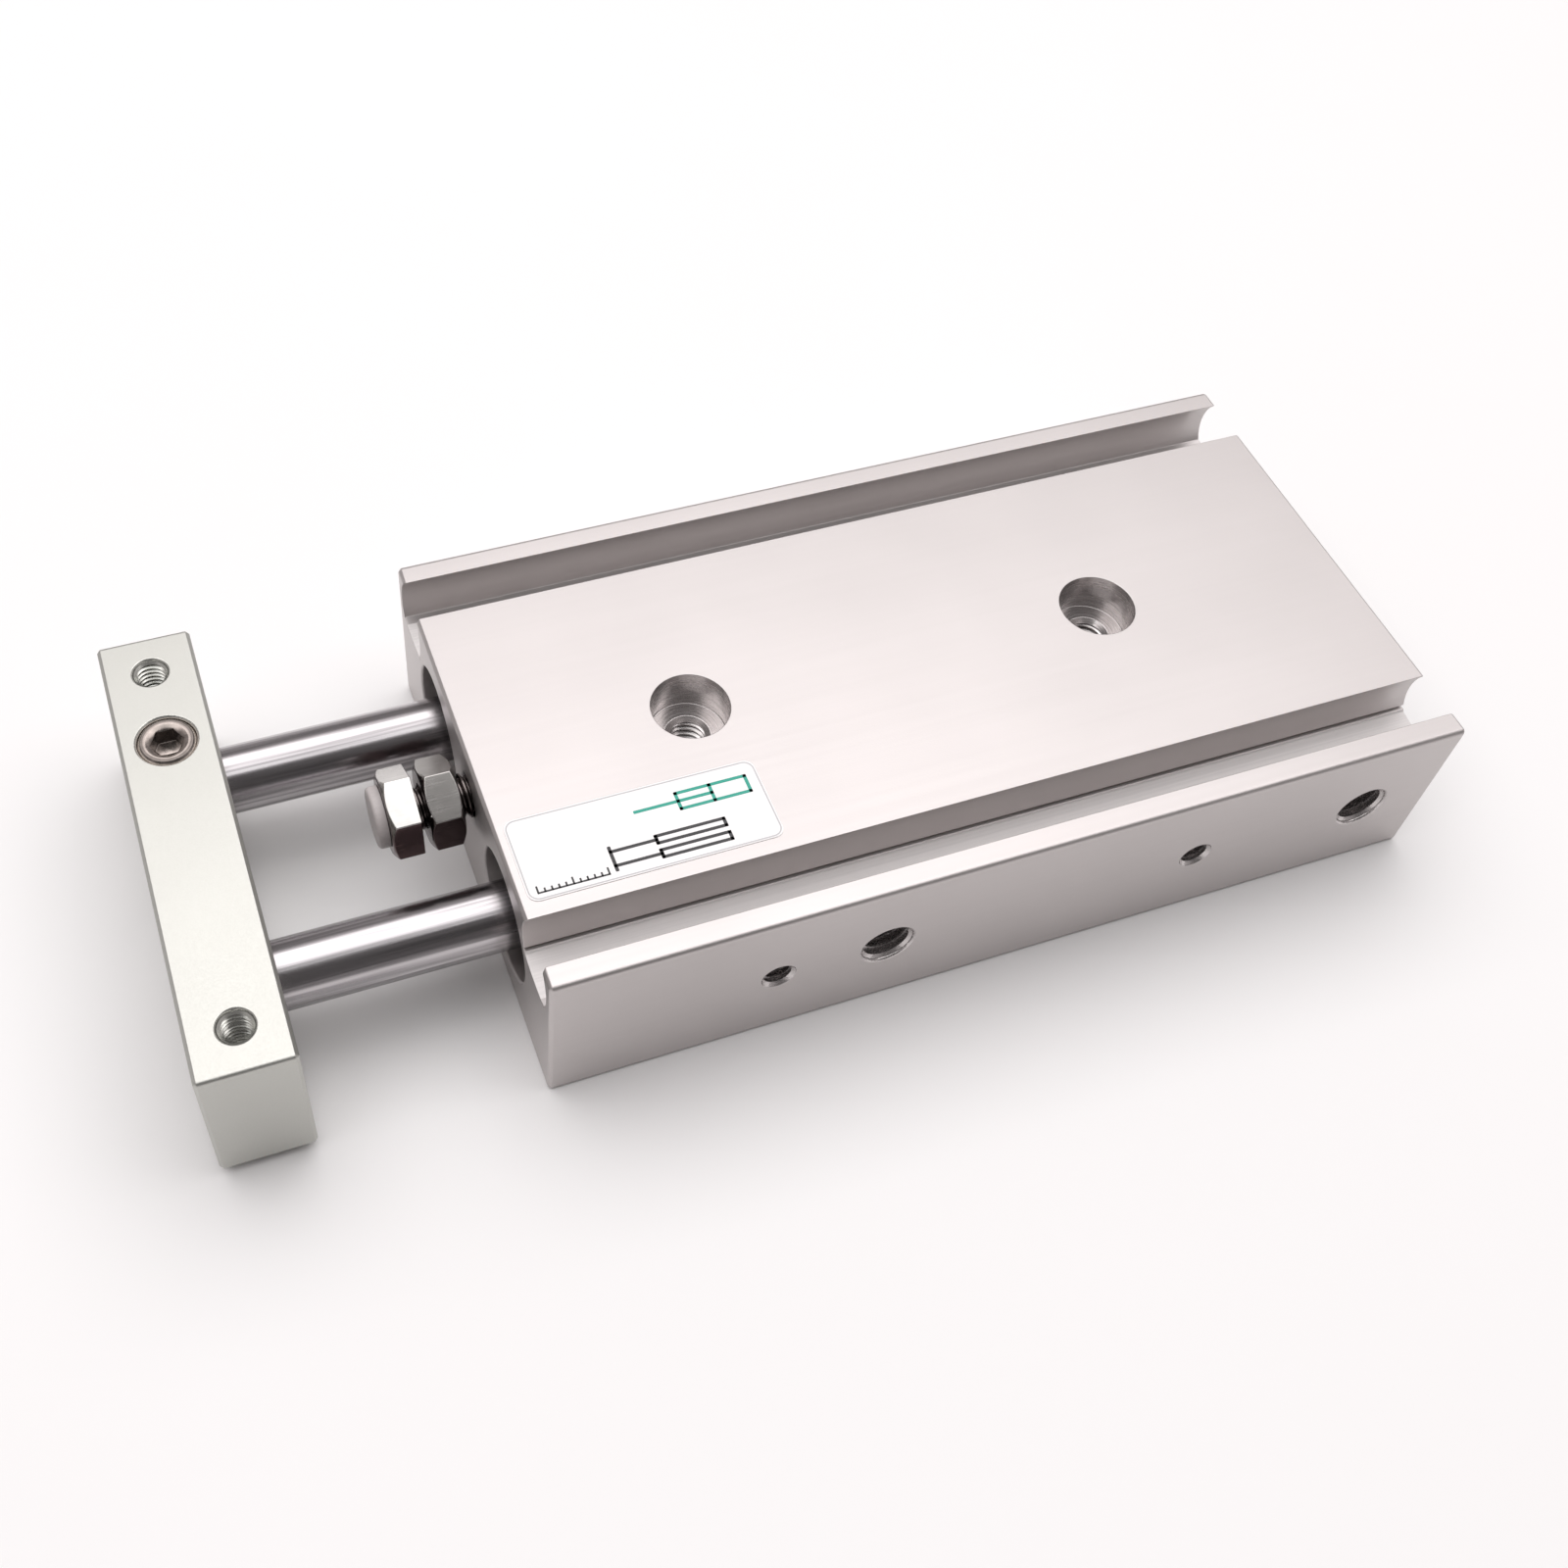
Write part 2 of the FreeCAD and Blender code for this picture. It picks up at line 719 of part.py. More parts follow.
def piston(label, y):
    """A piston with a slim nose, a seal groove and a spigot for the magnet."""
    land, journal = "(bore_dia / 2 - piston_clearance)", "journal_dia / 2 + slip_gap"
    groove_start = "-(piston_nose + piston_land)"
    groove_stop = "-(piston_nose + piston_land + piston_groove)"
    spigot_end = f"-({PISTON_LENGTH} + magnet_length)"
    corners = [
        (0, journal),
        (0, "piston_nose_dia / 2"),
        ("-piston_nose", "piston_nose_dia / 2"),
        ("-piston_nose", land),
        (groove_start, land),
        (groove_start, "piston_groove_dia / 2"),
        (groove_stop, "piston_groove_dia / 2"),
        (groove_stop, land),
        (f"-{PISTON_LENGTH}", land),
        (f"-{PISTON_LENGTH}", "spigot_dia / 2"),
        (spigot_end, "spigot_dia / 2"),
        (spigot_end, journal),
    ]
    return turned(label, corners, PISTON, y, "axis_height")


def piston_seal(label, y):
    """A seal with two lips against the bore and a hollow between them."""
    inner, outer = "piston_groove_dia / 2 + slip_gap", "bore_dia / 2 - running_gap"
    length = "(piston_groove - 2 * end_gap)"
    corners = [
        (0, inner),
        (0, outer),
        (f"-{length} / 4", outer),
        (f"-{length} / 2", f"{outer} - {length} / 5"),
        (f"-{length} * 3 / 4", outer),
        (f"-{length}", outer),
        (f"-{length}", inner),
    ]
    place = f"{PISTON} - piston_nose - piston_land - end_gap"
    return turned(label, corners, place, y, "axis_height")


def magnet(label, y):
    """The ring magnet that the sensors in the slots see."""
    inner, outer = "spigot_dia / 2 + slip_gap", "magnet_dia / 2"
    corners = [(0, inner), (0, outer), ("-magnet_length", outer), ("-magnet_length", inner)]
    return turned(label, corners, f"{PISTON} - {PISTON_LENGTH}", y, "axis_height")


def magnet_washer(label, y):
    """The washer between the magnet and the piston nut."""
    inner, outer = "journal_dia / 2 + slip_gap", "washer_dia / 2"
    corners = [(0, inner), (0, outer), ("-washer_thickness", outer), ("-washer_thickness", inner)]
    return turned(label, corners, f"{PISTON} - {PISTON_LENGTH} - magnet_length", y, "axis_height")


def corner_cut(flats, face, outward):
    """Half a section of the ring that a cone takes off a hexagon's corners at one face."""
    start, reach = f"({flats} / 2 * 0.95)", f"({flats} / sqrt(3) + end_gap)"
    return [
        (face, start),
        (face, reach),
        (f"{face} - {outward} * ({reach} - {start}) * tan(30)", reach),
    ]


def hex_nut(label, flats, thickness, hole_dia, turn, x, y, z):
    """A hexagon nut with both faces chamfered, from its rear face forward."""
    body = new_body(label, x, y, z)
    flats_sketch = new_sketch(body, "YZ_Plane", "flats")
    outline(flats_sketch, hexagon(flats, turn))
    pad(body, flats_sketch, thickness)
    for name, face, outward in (("front_cone", thickness, 1), ("rear_cone", 0, -1)):
        bored(body, name, corner_cut(flats, face, outward), "X")
    hole = new_sketch(body, "YZ_Plane", "hole", z=thickness)
    circle(hole, 0, 0, hole_dia)
    pocket(body, hole, thickness)
    return body


def piston_nut(label, y):
    place = f"{PISTON} - {PISTON_LENGTH} - magnet_length - washer_thickness - piston_nut_thickness"
    hole = "journal_dia + 2 * slip_gap"
    return hex_nut(label, "piston_nut_flats", "piston_nut_thickness", hole, 0, place, y, "axis_height")


def end_plate():
    """The plate that joins both rods, with its fixing holes."""
    body = new_body("end_plate", x=PLATE)
    near_arc = "plate_corner * (1 - cos(45))"
    edge = PLATE_EDGE
    half = [
        (f"{edge} - plate_corner", "plate_bottom"),
        (edge, "plate_bottom + plate_corner", (f"{edge} - {near_arc}", f"plate_bottom + {near_arc}")),
        (edge, "plate_top - plate_corner"),
        (f"{edge} - plate_corner", "plate_top", (f"{edge} - {near_arc}", f"plate_top - {near_arc}")),
    ]
    section = new_sketch(body, "YZ_Plane", "section")
    outline(section, half + mirrored(half))
    slab = pad(body, section, "plate_thickness")
    faces = (0, number("plate_thickness"))
    break_edges(body, slab, lambda line: straight_across(line, faces), "body_end_break")

    rod = "rod_dia / 2 + slip_gap"
    screw = "cap_screw_dia / 2 + 5 * slip_gap"
    screw_head = "cap_counterbore_dia / 2"
    screwed_socket = [
        (0, 0),
        (0, rod),
        ("screwed_rod_seat", rod),
        ("screwed_rod_seat", screw),
        (PLATE_SCREW_SEAT, screw),
        (PLATE_SCREW_SEAT, screw_head),
        ("plate_thickness", screw_head),
        ("plate_thickness", 0),
    ]
    bored(body, "screwed_socket", screwed_socket, "X", 0, ROD, "axis_height")
    clamped_socket = [(0, 0), (0, rod), ("clamped_rod_seat", rod), ("clamped_rod_seat", 0)]
    bored(body, "clamped_socket", clamped_socket, "X", 0, f"-{ROD}", "axis_height")

    set_screw_hole = [
        (0, "axis_height + rod_dia / 4"),
        ("set_screw_dia / 2 + slip_gap", "axis_height + rod_dia / 4"),
        ("set_screw_dia / 2 + slip_gap", "plate_top + set_screw_dia / 2 + slip_gap - set_screw_mouth / 2"),
        ("set_screw_mouth / 2", "plate_top"),
        (0, "plate_top"),
    ]
    bored(body, "set_screw_hole", set_screw_hole, "Z", "plate_thickness / 2", f"-{ROD}")

    lead = "(plate_tap_mouth / 2 - plate_tap / 2)"
    top_hole = [
        (0, "plate_bottom"),
        ("plate_tap_mouth / 2", "plate_bottom"),
        ("plate_tap / 2", f"plate_bottom + {lead}"),
        ("plate_tap / 2", f"plate_top - {lead}"),
        ("plate_tap_mouth / 2", "plate_top"),
        (0, "plate_top"),
    ]
    hole = bored(body, "top_hole", top_hole, "Z", "plate_thickness / 2", f"{PLATE_EDGE} - plate_hole_inset")
    mirror_across_middle(body, hole)

    tooling = new_sketch(body, "YZ_Plane", "tooling", y="axis_height", z="plate_thickness")
    for across in ("tooling_pitch_y / 2", "-tooling_pitch_y / 2"):
        for up in ("tooling_pitch_z / 2", "-tooling_pitch_z / 2"):
            circle(tooling, across, up, "tooling_tap")
    pocket(body, tooling, "tooling_tap_depth")
    return body


def plate_cap_screw():
    """The socket screw that holds the left rod to the plate, from the plate's outer face."""
    shank, head = "cap_screw_dia / 2", "cap_screw_head_dia / 2"
    tip = f"-({PLATE_SCREW_SEAT} - screwed_rod_seat + cap_screw_reach - end_gap)"
    corners = [
        (tip, 0),
        (tip, f"{shank} - rod_end_break"),
        (f"{tip} + rod_end_break", shank),
        (0, shank),
        (0, head),
        ("cap_screw_head - rod_end_break", head),
        ("cap_screw_head", f"{head} - rod_end_break"),
        ("cap_screw_head", 0),
    ]
    body = turned(
        "plate_cap_screw", corners, f"{PLATE} + {PLATE_SCREW_SEAT}", ROD, "axis_height"
    )
    socket = new_sketch(body, "YZ_Plane", "socket", z="cap_screw_head")
    outline(socket, hexagon("cap_screw_socket"))
    pocket(body, socket, "cap_screw_socket_depth")
    return body


def rod_set_screw():
    """The socket set screw that clamps the right rod, from the plate's top."""
    tip_height = "(axis_height + rod_dia / 2 - set_screw_bite)"
    length = f"(plate_top - {tip_height})"
    radius = "set_screw_dia / 2"
    corners = [
        (0, 0),
        (f"{radius} - rod_end_break", 0),
        (radius, "rod_end_break"),
        (radius, f"{length} - rod_end_break"),
        (f"{radius} - rod_end_break", length),
        (0, length),
    ]
    place = (f"{PLATE} + plate_thickness / 2", f"-{ROD}", tip_height)
    body = turned("rod_set_screw", corners, *place, axis="Z")
    socket = new_sketch(body, "XY_Plane", "socket", z=length)
    outline(socket, hexagon("set_screw_socket"))
    pocket(body, socket, "set_screw_socket_depth")
    mouth = "set_screw_socket_mouth / 2"
    cone = [(0, length), (mouth, length), (0, f"{length} - {mouth} * tan(30)")]
    bored(body, "socket_mouth", cone, "Z")
    return body


def stopper_bolt():
    """The hexagon bolt that stops the plate when the rods are drawn in."""
    place = (f"{FRONT} + stopper_head_gap", 0, "stopper_height")
    body = new_body("stopper_bolt", *place)
    head = new_sketch(body, "YZ_Plane", "head")
    outline(head, hexagon("stopper_flats", "stopper_turn"))
    pad(body, head, "stopper_head")
    bored(body, "head_cone", corner_cut("stopper_flats", "stopper_head", 1), "X")
    radius, end = "stopper_dia / 2", "-(stopper_head_gap + stopper_reach)"
    shank = [
        ("stopper_head / 2", 0),
        ("stopper_head / 2", radius),
        (f"{end} + rod_end_break", radius),
        (end, f"{radius} - rod_end_break"),
        (end, 0),
    ]
    revolved("Revolution", body, "shank", shank, "X", 0, 0, 0)
    stem = new_sketch(body, "YZ_Plane", "stem", z="stopper_head")
    circle(stem, 0, 0, "stopper_stem_dia + 2 * running_gap")
    pocket(body, stem, "stopper_stem + end_gap")
    return body


def stopper_bumper():
    """The soft mushroom in the stopper bolt's head."""
    stem, disc = "stopper_stem_dia / 2", "stopper_pad_dia / 2"
    edge_arc = "stopper_pad_edge * (1 - cos(45))"
    corners = [
        ("-stopper_stem", 0),
        ("-stopper_stem", stem),
        ("end_gap", stem),
        ("end_gap", disc),
        ("end_gap + stopper_pad - stopper_pad_edge", disc),
        (
            "end_gap + stopper_pad",
            f"{disc} - stopper_pad_edge",
            (f"end_gap + stopper_pad - {edge_arc}", f"{disc} - {edge_arc}"),
        ),
        ("end_gap + stopper_pad", 0),
    ]
    place = (f"{FRONT} + stopper_head_gap + stopper_head", 0, "stopper_height")
    return turned("stopper_bumper", corners, *place)


def lock_nut():
    hole = "stopper_dia + 2 * running_gap"
    place = (f"{FRONT} + lock_nut_gap", 0, "stopper_height")
    return hex_nut("lock_nut", "stopper_flats", "lock_nut_thickness", hole, "lock_nut_turn", *place)


def bore_parts():
    """What lies in each bore and on each rod."""
    o_ring_back = "cover_o_ring_inset + (o_ring_section + o_ring_room) / 2"
    parts = []
    for side, sign in SIDES:
        y = f"{sign} * {ROD}"
        parts += [
            rod_cover(f"rod_cover_{side}", y),
            rod_seal(f"rod_seal_{side}", y),
            seal_retainer(f"seal_retainer_{side}", y),
            o_ring(f"cover_o_ring_{side}", f"{FRONT} - {COVER_FACE} - ({o_ring_back})", y),
            snap_ring(f"front_snap_ring_{side}", f"{FRONT} - {COVER_FACE}", y),
            cushion(f"rod_cushion_{side}", y),
            head_cover(f"head_cover_{side}", y),
            head_bumper(f"head_bumper_{side}", y),
            o_ring(f"head_o_ring_{side}", f"{REAR} + {COVER_FACE} + {HEAD_LENGTH} / 2", y),
            snap_ring(f"rear_snap_ring_{side}", f"{REAR} + snap_inset", y),
            piston(f"piston_{side}", y),
            piston_seal(f"piston_seal_{side}", y),
            magnet(f"magnet_{side}", y),
            magnet_washer(f"magnet_washer_{side}", y),
            piston_nut(f"piston_nut_{side}", y),
        ]
    parts.append(piston_rod("piston_rod_left", ROD, "screwed_rod_seat", screwed_end()))
    parts.append(piston_rod("piston_rod_right", f"-{ROD}", "clamped_rod_seat", clamped_end()))
    return parts


def check(parts):
    """Stop where a feature failed or a part isn't one sound solid."""
    for item in doc.Objects:
        if {"Invalid", "Error"} & set(item.State):
            raise RuntimeError(f"{item.Name} failed: {item.State}")
    for part in parts:
        shape = part.Shape
        if shape.isNull() or not shape.isValid() or len(shape.Solids) != 1:
            raise RuntimeError(f"{part.Label} isn't one sound solid")


def main():
    parts = [
        body_block(),
        *bore_parts(),
        end_plate(),
        plate_cap_screw(),
        rod_set_screw(),
        stopper_bolt(),
        stopper_bumper(),
        lock_nut(),
    ]
    doc.recompute()
    check(parts)
    os.makedirs("parts", exist_ok=True)
    for part in parts:
        part.Shape.exportStep(f"parts/{part.Label}.step")
        print(f"{part.Label}: {part.Shape.Volume:.2f} mm3")


main()
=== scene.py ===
import json
from collections import namedtuple
from math import cos, pi, radians, sin, tau

import bmesh
import bpy
from mathutils import Matrix, Vector

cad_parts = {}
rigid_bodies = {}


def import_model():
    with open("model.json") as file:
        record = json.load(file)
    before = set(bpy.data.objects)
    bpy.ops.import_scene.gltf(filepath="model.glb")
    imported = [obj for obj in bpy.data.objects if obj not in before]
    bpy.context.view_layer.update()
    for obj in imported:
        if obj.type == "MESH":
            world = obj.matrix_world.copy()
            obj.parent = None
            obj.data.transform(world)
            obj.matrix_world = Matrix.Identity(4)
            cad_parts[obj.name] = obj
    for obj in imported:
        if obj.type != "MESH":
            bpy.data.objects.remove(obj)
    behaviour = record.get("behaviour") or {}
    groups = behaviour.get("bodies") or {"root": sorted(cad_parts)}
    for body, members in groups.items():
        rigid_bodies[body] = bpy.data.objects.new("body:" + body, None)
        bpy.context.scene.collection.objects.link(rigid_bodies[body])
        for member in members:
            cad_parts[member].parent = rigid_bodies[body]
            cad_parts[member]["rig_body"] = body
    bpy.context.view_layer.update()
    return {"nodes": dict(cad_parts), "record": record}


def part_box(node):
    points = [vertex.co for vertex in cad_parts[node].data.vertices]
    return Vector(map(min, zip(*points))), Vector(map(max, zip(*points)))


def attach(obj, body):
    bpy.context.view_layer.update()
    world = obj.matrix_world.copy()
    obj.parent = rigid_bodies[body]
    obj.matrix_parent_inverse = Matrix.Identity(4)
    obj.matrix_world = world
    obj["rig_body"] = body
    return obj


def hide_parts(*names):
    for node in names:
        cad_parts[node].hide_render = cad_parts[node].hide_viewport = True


bl_info = {
    "name": "Guided Pneumatic Cylinder",
    "version": (1, 0, 0),
    "blender": (4, 5, 0),
    "location": "3D View > Sidebar > Cylinder",
    "description": "Finishes, threads and sticker of a twin-rod air cylinder, and its studio",
    "category": "Object",
}

MM = 0.001

# Widths of broken edges: on the body, the nut and the bolt, on the plate, and on the set screw
WIDE_EDGE = 0.08 * MM
PLATE_EDGE = 0.04 * MM
SCREW_EDGE = 0.05 * MM

# How near two points are the same, how far one solid reaches into the next, and the ink's thickness
WELD = 0.002 * MM
SLIVER = 0.001 * MM
OVERLAP = 0.02 * MM
INK = 0.01 * MM

# Sides of a round shape: a thread's turn, and a cone or a shank
TURN_STEPS = 36
ROUND_STEPS = 48

# Sockets of a Mix node that mixes colours
FACTOR, FIRST, SECOND, MIXED = 0, 6, 7, 2

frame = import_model()
MOUNTS = {mount["name"]: mount for mount in frame["record"]["mounts"]}
SLOT_NODES = {}
for part in frame["record"]["subparts"]:
    SLOT_NODES.setdefault(part["material_slot"], []).append(part["node"])

BODY_LOW, BODY_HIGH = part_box("body_block")
BOLT_LOW, BOLT_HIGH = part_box("stopper_bolt")
SCREW_LOW, SCREW_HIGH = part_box("rod_set_screw")


# Sizes and colours that a user may change


def length(name, description, millimetres, **limits):
    """A length property whose default is given in millimetres."""
    return bpy.props.FloatProperty(
        name=name,
        description=description,
        default=millimetres * MM,
        subtype="DISTANCE",
        unit="LENGTH",
        precision=5,
        **limits,
    )


def colour(name, description, code):
    """A colour property whose default is given as an sRGB hex code."""
    return bpy.props.FloatVectorProperty(
        name=name,
        description=description,
        default=linear(code),
        subtype="COLOR",
        size=3,
        min=0.0,
        max=1.0,
    )


def linear(code):
    """The linear colour of an sRGB hex code such as "C8C4C2"."""
    channels = [int(code[at : at + 2], 16) / 255 for at in (0, 2, 4)]
    return tuple(c / 12.92 if c <= 0.04045 else ((c + 0.055) / 1.055) ** 2.4 for c in channels)


class CylinderFinishes(bpy.types.PropertyGroup):
    """Colours of the metals, rubbers and the sticker."""

    body: colour("Body", "Clear anodised extrusion", "C7C2C1")
    bored_body: colour("Bored body", "Drilled and counterbored faces of the body", "D6D1D0")
    # Painted light: a lighter colour for the sensor slots' walls and floors than for the rest of
    # the body
    lighter_slot_colour: colour("Sensor slots", "Walls of the body's sensor slots", "ECE8E7")
    plate: colour("Plate", "Clear anodised end plate", "C0C0BB")
    bored_plate: colour("Bored plate", "Drilled faces of the end plate", "D6D6D0")
    chrome: colour("Chrome", "Hard chrome of the rods", "BDB9BB")
    nickel: colour("Nickel", "Nickel plate of the stopper bolt", "DAD8D5")
    zinc: colour("Zinc", "Duller zinc plate of the nuts", "AFACA9")
    oiled: colour("Oiled thread", "Plated thread of the stopper bolt, wet with oil", "77706E")
    # Painted shade: this brown darkens the plated steel's faces that look sideways or down
    oil_and_shade: colour("Oil", "Film of brown oil low on the plated steel", "7E6A6C")
    oxide: colour("Oxide", "Browned steel of the socket screws", "7A6F6B")
    turned: colour("Turned", "Bare turned alloy of covers and pistons", "BDBAB4")
    spring: colour("Spring steel", "Phosphated snap rings and retainers", "4A494A")
    nitrile: colour("Nitrile", "Seals and O-rings", "1E1E1F")
    urethane: colour("Urethane", "Cushions and the stopper's pad", "C4BDBC")
    magnet: colour("Magnet", "Bonded magnet", "2E2D2D")
    sticker: colour("Sticker", "White film of the sticker", "F7F5F5")
    # Painted shade: the grey of a line just inside the sticker's edge, which stands for the film's
    # darker edge
    sticker_edge_shade: colour("Sticker edge", "Printed border of the sticker", "C3C2C4")
    dark_print: colour("Dark print", "Outline and scale printed on the sticker", "2C2C2E")
    green_print: colour("Green print", "Drawing sign printed on the sticker", "1FA08C")


class CylinderThreads(bpy.types.PropertyGroup):
    """Sizes of the threads."""

    m3_pitch: length("M3 pitch", "Rise of an M3 thread in one turn", 0.5, min=0.1 * MM)
    m4_pitch: length("M4 pitch", "Rise of an M4 thread in one turn", 0.7, min=0.1 * MM)
    m5_pitch: length("M5 pitch", "Rise of an M5 thread in one turn", 0.8, min=0.1 * MM)
    depth_share: bpy.props.FloatProperty(
        name="Depth share",
        description="Height of a thread's ridge as a share of its pitch",
        default=0.54,
        min=0.05,
        max=0.6,
    )


class CylinderSticker(bpy.types.PropertyGroup):
    """Sizes of the sticker."""

    length: length("Length", "Size along the rods", 22.0)
    width: length("Width", "Size across the body", 8.1)
    front_gap: length("Front gap", "Distance from the body's front face", 0.9)
    middle_gap: length("Middle gap", "Distance from the body's middle", 6.9)
    corner: length("Corner", "Radius of the corners", 0.9)
    thickness: length("Thickness", "Thickness of the film", 0.06)
    # Width of the line of painted shade along the film's edge
    border: length("Border", "Width of the printed border", 0.12)


class CylinderStudio(bpy.types.PropertyGroup):
    """Camera and lights."""

    azimuth: bpy.props.FloatProperty(
        name="Azimuth",
        description="Camera's place round the part; 0 looks along +Y",
        default=radians(155.78),
        subtype="ANGLE",
        unit="ROTATION",
    )
    elevation: bpy.props.FloatProperty(
        name="Elevation",
        description="Camera's height above the horizon",
        default=radians(52.82),
        subtype="ANGLE",
        unit="ROTATION",
    )
    roll: bpy.props.FloatProperty(
        name="Roll",
        description="Camera's turn about its line of sight",
        default=radians(5.55),
        subtype="ANGLE",
        unit="ROTATION",
    )
    distance: length("Distance", "From the camera to the point that it looks at", 161.6)
    target: bpy.props.FloatVectorProperty(
        name="Target",
        description="Point that the camera looks at",
        default=(20.88 * MM, -2.31 * MM, 8.5 * MM),
        subtype="TRANSLATION",
        unit="LENGTH",
    )
    lens: bpy.props.FloatProperty(
        name="Lens",
        description="Focal length in millimetres on a 36 mm sensor",
        default=40.83,
        min=10.0,
    )
    shift: bpy.props.FloatVectorProperty(
        name="Shift",
        description="Lens shift that frames the part",
        default=(0.0751, -0.0236),
        size=2,
    )
    key_power: bpy.props.FloatProperty(
        name="Key power",
        description="Power of the large overhead softbox, in watts",
        default=3.4,
        min=0.0,
    )
    key_size: bpy.props.FloatVectorProperty(
        name="Key size",
        description="Length and width of the softbox",
        default=(1.0, 0.72),
        size=2,
        unit="LENGTH",
    )
    key_place: bpy.props.FloatVectorProperty(
        name="Key place",
        description="Middle of the softbox",
        default=(0.0, -0.14, 0.55),
        subtype="TRANSLATION",
        unit="LENGTH",
    )
    wall: bpy.props.FloatProperty(
        name="Wall",
        description="Brightness of the studio's walls",
        default=0.38,
        min=0.0,
    )
    ceiling: bpy.props.FloatProperty(
        name="Ceiling",
        description="Brightness of the studio's ceiling",
        default=1.15,
        min=0.0,
    )
    flag: bpy.props.FloatProperty(
        name="Flag",
        description="Brightness of the dark cloth on the side of the air ports",
        default=0.12,
        min=0.0,
    )
    paint: colour("Paint", "White paint of the floor", "F4F3F3")
    air: colour("Air", "Faint tint of the walls and the ceiling", "FCF6F6")


# Materials


def add_node(material, kind, inputs=None, **settings):
    """A shader node with its settings. An input given as a socket is linked, any other is set."""
    node = material.node_tree.nodes.new(kind)
    for name, value in settings.items():
        setattr(node, name, value)
    for key, value in (inputs or {}).items():
        if isinstance(value, bpy.types.NodeSocket):
            material.node_tree.links.new(value, node.inputs[key])
        else:
            node.inputs[key].default_value = value
    return node


def new_material(name, **sockets):
    """A material with its principled shader's sockets set, by their names with _ for spaces."""
    material = bpy.data.materials.new(name)
    material.use_nodes = True
    shader = material.node_tree.nodes["Principled BSDF"]
    for key, value in sockets.items():
        shader.inputs[key.replace("_", " ").title().replace("Ior", "IOR")].default_value = value
    return material, shader


def grain(material, cell, stretch=(1, 1, 1), detail=2.0):
    """Noise in the part's own space, whose cells are the given size in millimetres."""
    place = add_node(material, "ShaderNodeTexCoord")
    scale = tuple(1 / (cell * MM * share) for share in stretch)
    inputs = {"Vector": place.outputs["Object"], "Scale": scale}
    mapped = add_node(material, "ShaderNodeMapping", inputs)
    inputs = {"Vector": mapped.outputs["Vector"], "Scale": 1.0, "Detail": detail}
    return add_node(material, "ShaderNodeTexNoise", inputs).outputs["Fac"]


def vary(material, source, low, high, spread=(0.3, 0.7)):
    """The source turned into a value from low to high."""
    inputs = {"Value": source, "To Min": low, "To Max": high}
    inputs["From Min"], inputs["From Max"] = spread
    return add_node(material, "ShaderNodeMapRange", inputs).outputs["Result"]


def mix(material, factor, first, second, blend="MIX"):
    """Two colours mixed by a factor."""
    inputs = {FACTOR: factor, FIRST: first, SECOND: second}
    node = add_node(material, "ShaderNodeMix", inputs, data_type="RGBA", blend_type=blend)
    return node.outputs[MIXED]


def tint(material, source, base, share):
    """The base colour darkened by up to a share where the source is low."""
    dark = [channel * (1 - share) for channel in base]
    return mix(material, source, (*dark, 1.0), (*base, 1.0))


def relief(material, shader, source, height):
    """Bump of the given height, in millimetres, under the shader."""
    inputs = {"Height": source, "Strength": 1.0, "Distance": height * MM}
    join(material, add_node(material, "ShaderNodeBump", inputs).outputs["Normal"], shader, "Normal")


def join(material, output, shader, socket):
    """Link an output to one of the shader's sockets, by its name."""
    material.node_tree.links.new(output, shader.inputs[socket])


def facing_up(material, low, spread):
    """From low on faces that look sideways or down to 1 on faces that look up."""
    place = add_node(material, "ShaderNodeTexCoord")
    facing = add_node(material, "ShaderNodeSeparateXYZ", {0: place.outputs["Normal"]})
    return vary(material, facing.outputs["Z"], low, 1, spread)


def from_axis(material, centre):
    """Distance from an upright axis through centre, and height. Mirrored axes count as one."""
    place = add_node(material, "ShaderNodeTexCoord")
    inputs = {0: place.outputs["Object"]}
    folded = add_node(material, "ShaderNodeVectorMath", inputs, operation="ABSOLUTE")
    inputs = {0: folded.outputs[0], 1: (*centre, 0.0)}
    moved = add_node(material, "ShaderNodeVectorMath", inputs, operation="SUBTRACT")
    parts = add_node(material, "ShaderNodeSeparateXYZ", {0: moved.outputs[0]})
    inputs = {0: parts.outputs[0], 1: parts.outputs[1]}
    level = add_node(material, "ShaderNodeCombineXYZ", inputs)
    radius = add_node(material, "ShaderNodeVectorMath", {0: level.outputs[0]}, operation="LENGTH")
    return radius.outputs["Value"], parts.outputs[2]


def turning_rings(material, centre, cell):
    """Rings that a turning tool leaves about an upright axis, on flats and on walls."""
    radius, height = from_axis(material, centre)
    across = add_node(material, "ShaderNodeCombineXYZ", {0: radius, 2: height})
    inputs = {"Vector": across.outputs[0], "Scale": 1 / (cell * MM), "Detail": 1.0}
    return add_node(material, "ShaderNodeTexNoise", inputs).outputs["Fac"]


def machined_aluminium(name, base, centre):
    """Drilled and spot-faced aluminium under the anodic film: brighter, with the tool's rings."""
    material, shader = new_material(name, metallic=0.85)
    rings = turning_rings(material, centre, 0.18)
    join(material, tint(material, rings, base, 0.2), shader, "Base Color")
    join(material, vary(material, rings, 0.16, 0.3), shader, "Roughness")
    relief(material, shader, rings, 0.012)
    return material


def anodised_extrusion(name, base):
    """Extruded aluminium, etched and clear anodised: matt, with faint die lines along the rods."""
    material, shader = new_material(name, metallic=1.0)
    speckle = grain(material, 0.16, detail=3.0)
    die_lines = grain(material, 0.3, stretch=(150, 1, 1))
    cloud = grain(material, 18.0)
    join(material, tint(material, vary(material, cloud, 0, 1), base, 0.05), shader, "Base Color")
    join(material, vary(material, die_lines, 0.43, 0.46), shader, "Roughness")
    faint = add_node(material, "ShaderNodeMath", {0: die_lines, 1: 0.25}, operation="MULTIPLY")
    both = add_node(material, "ShaderNodeMath", {0: speckle, 1: faint.outputs[0]}, operation="ADD")
    relief(material, shader, both.outputs[0], 0.005)
    return material


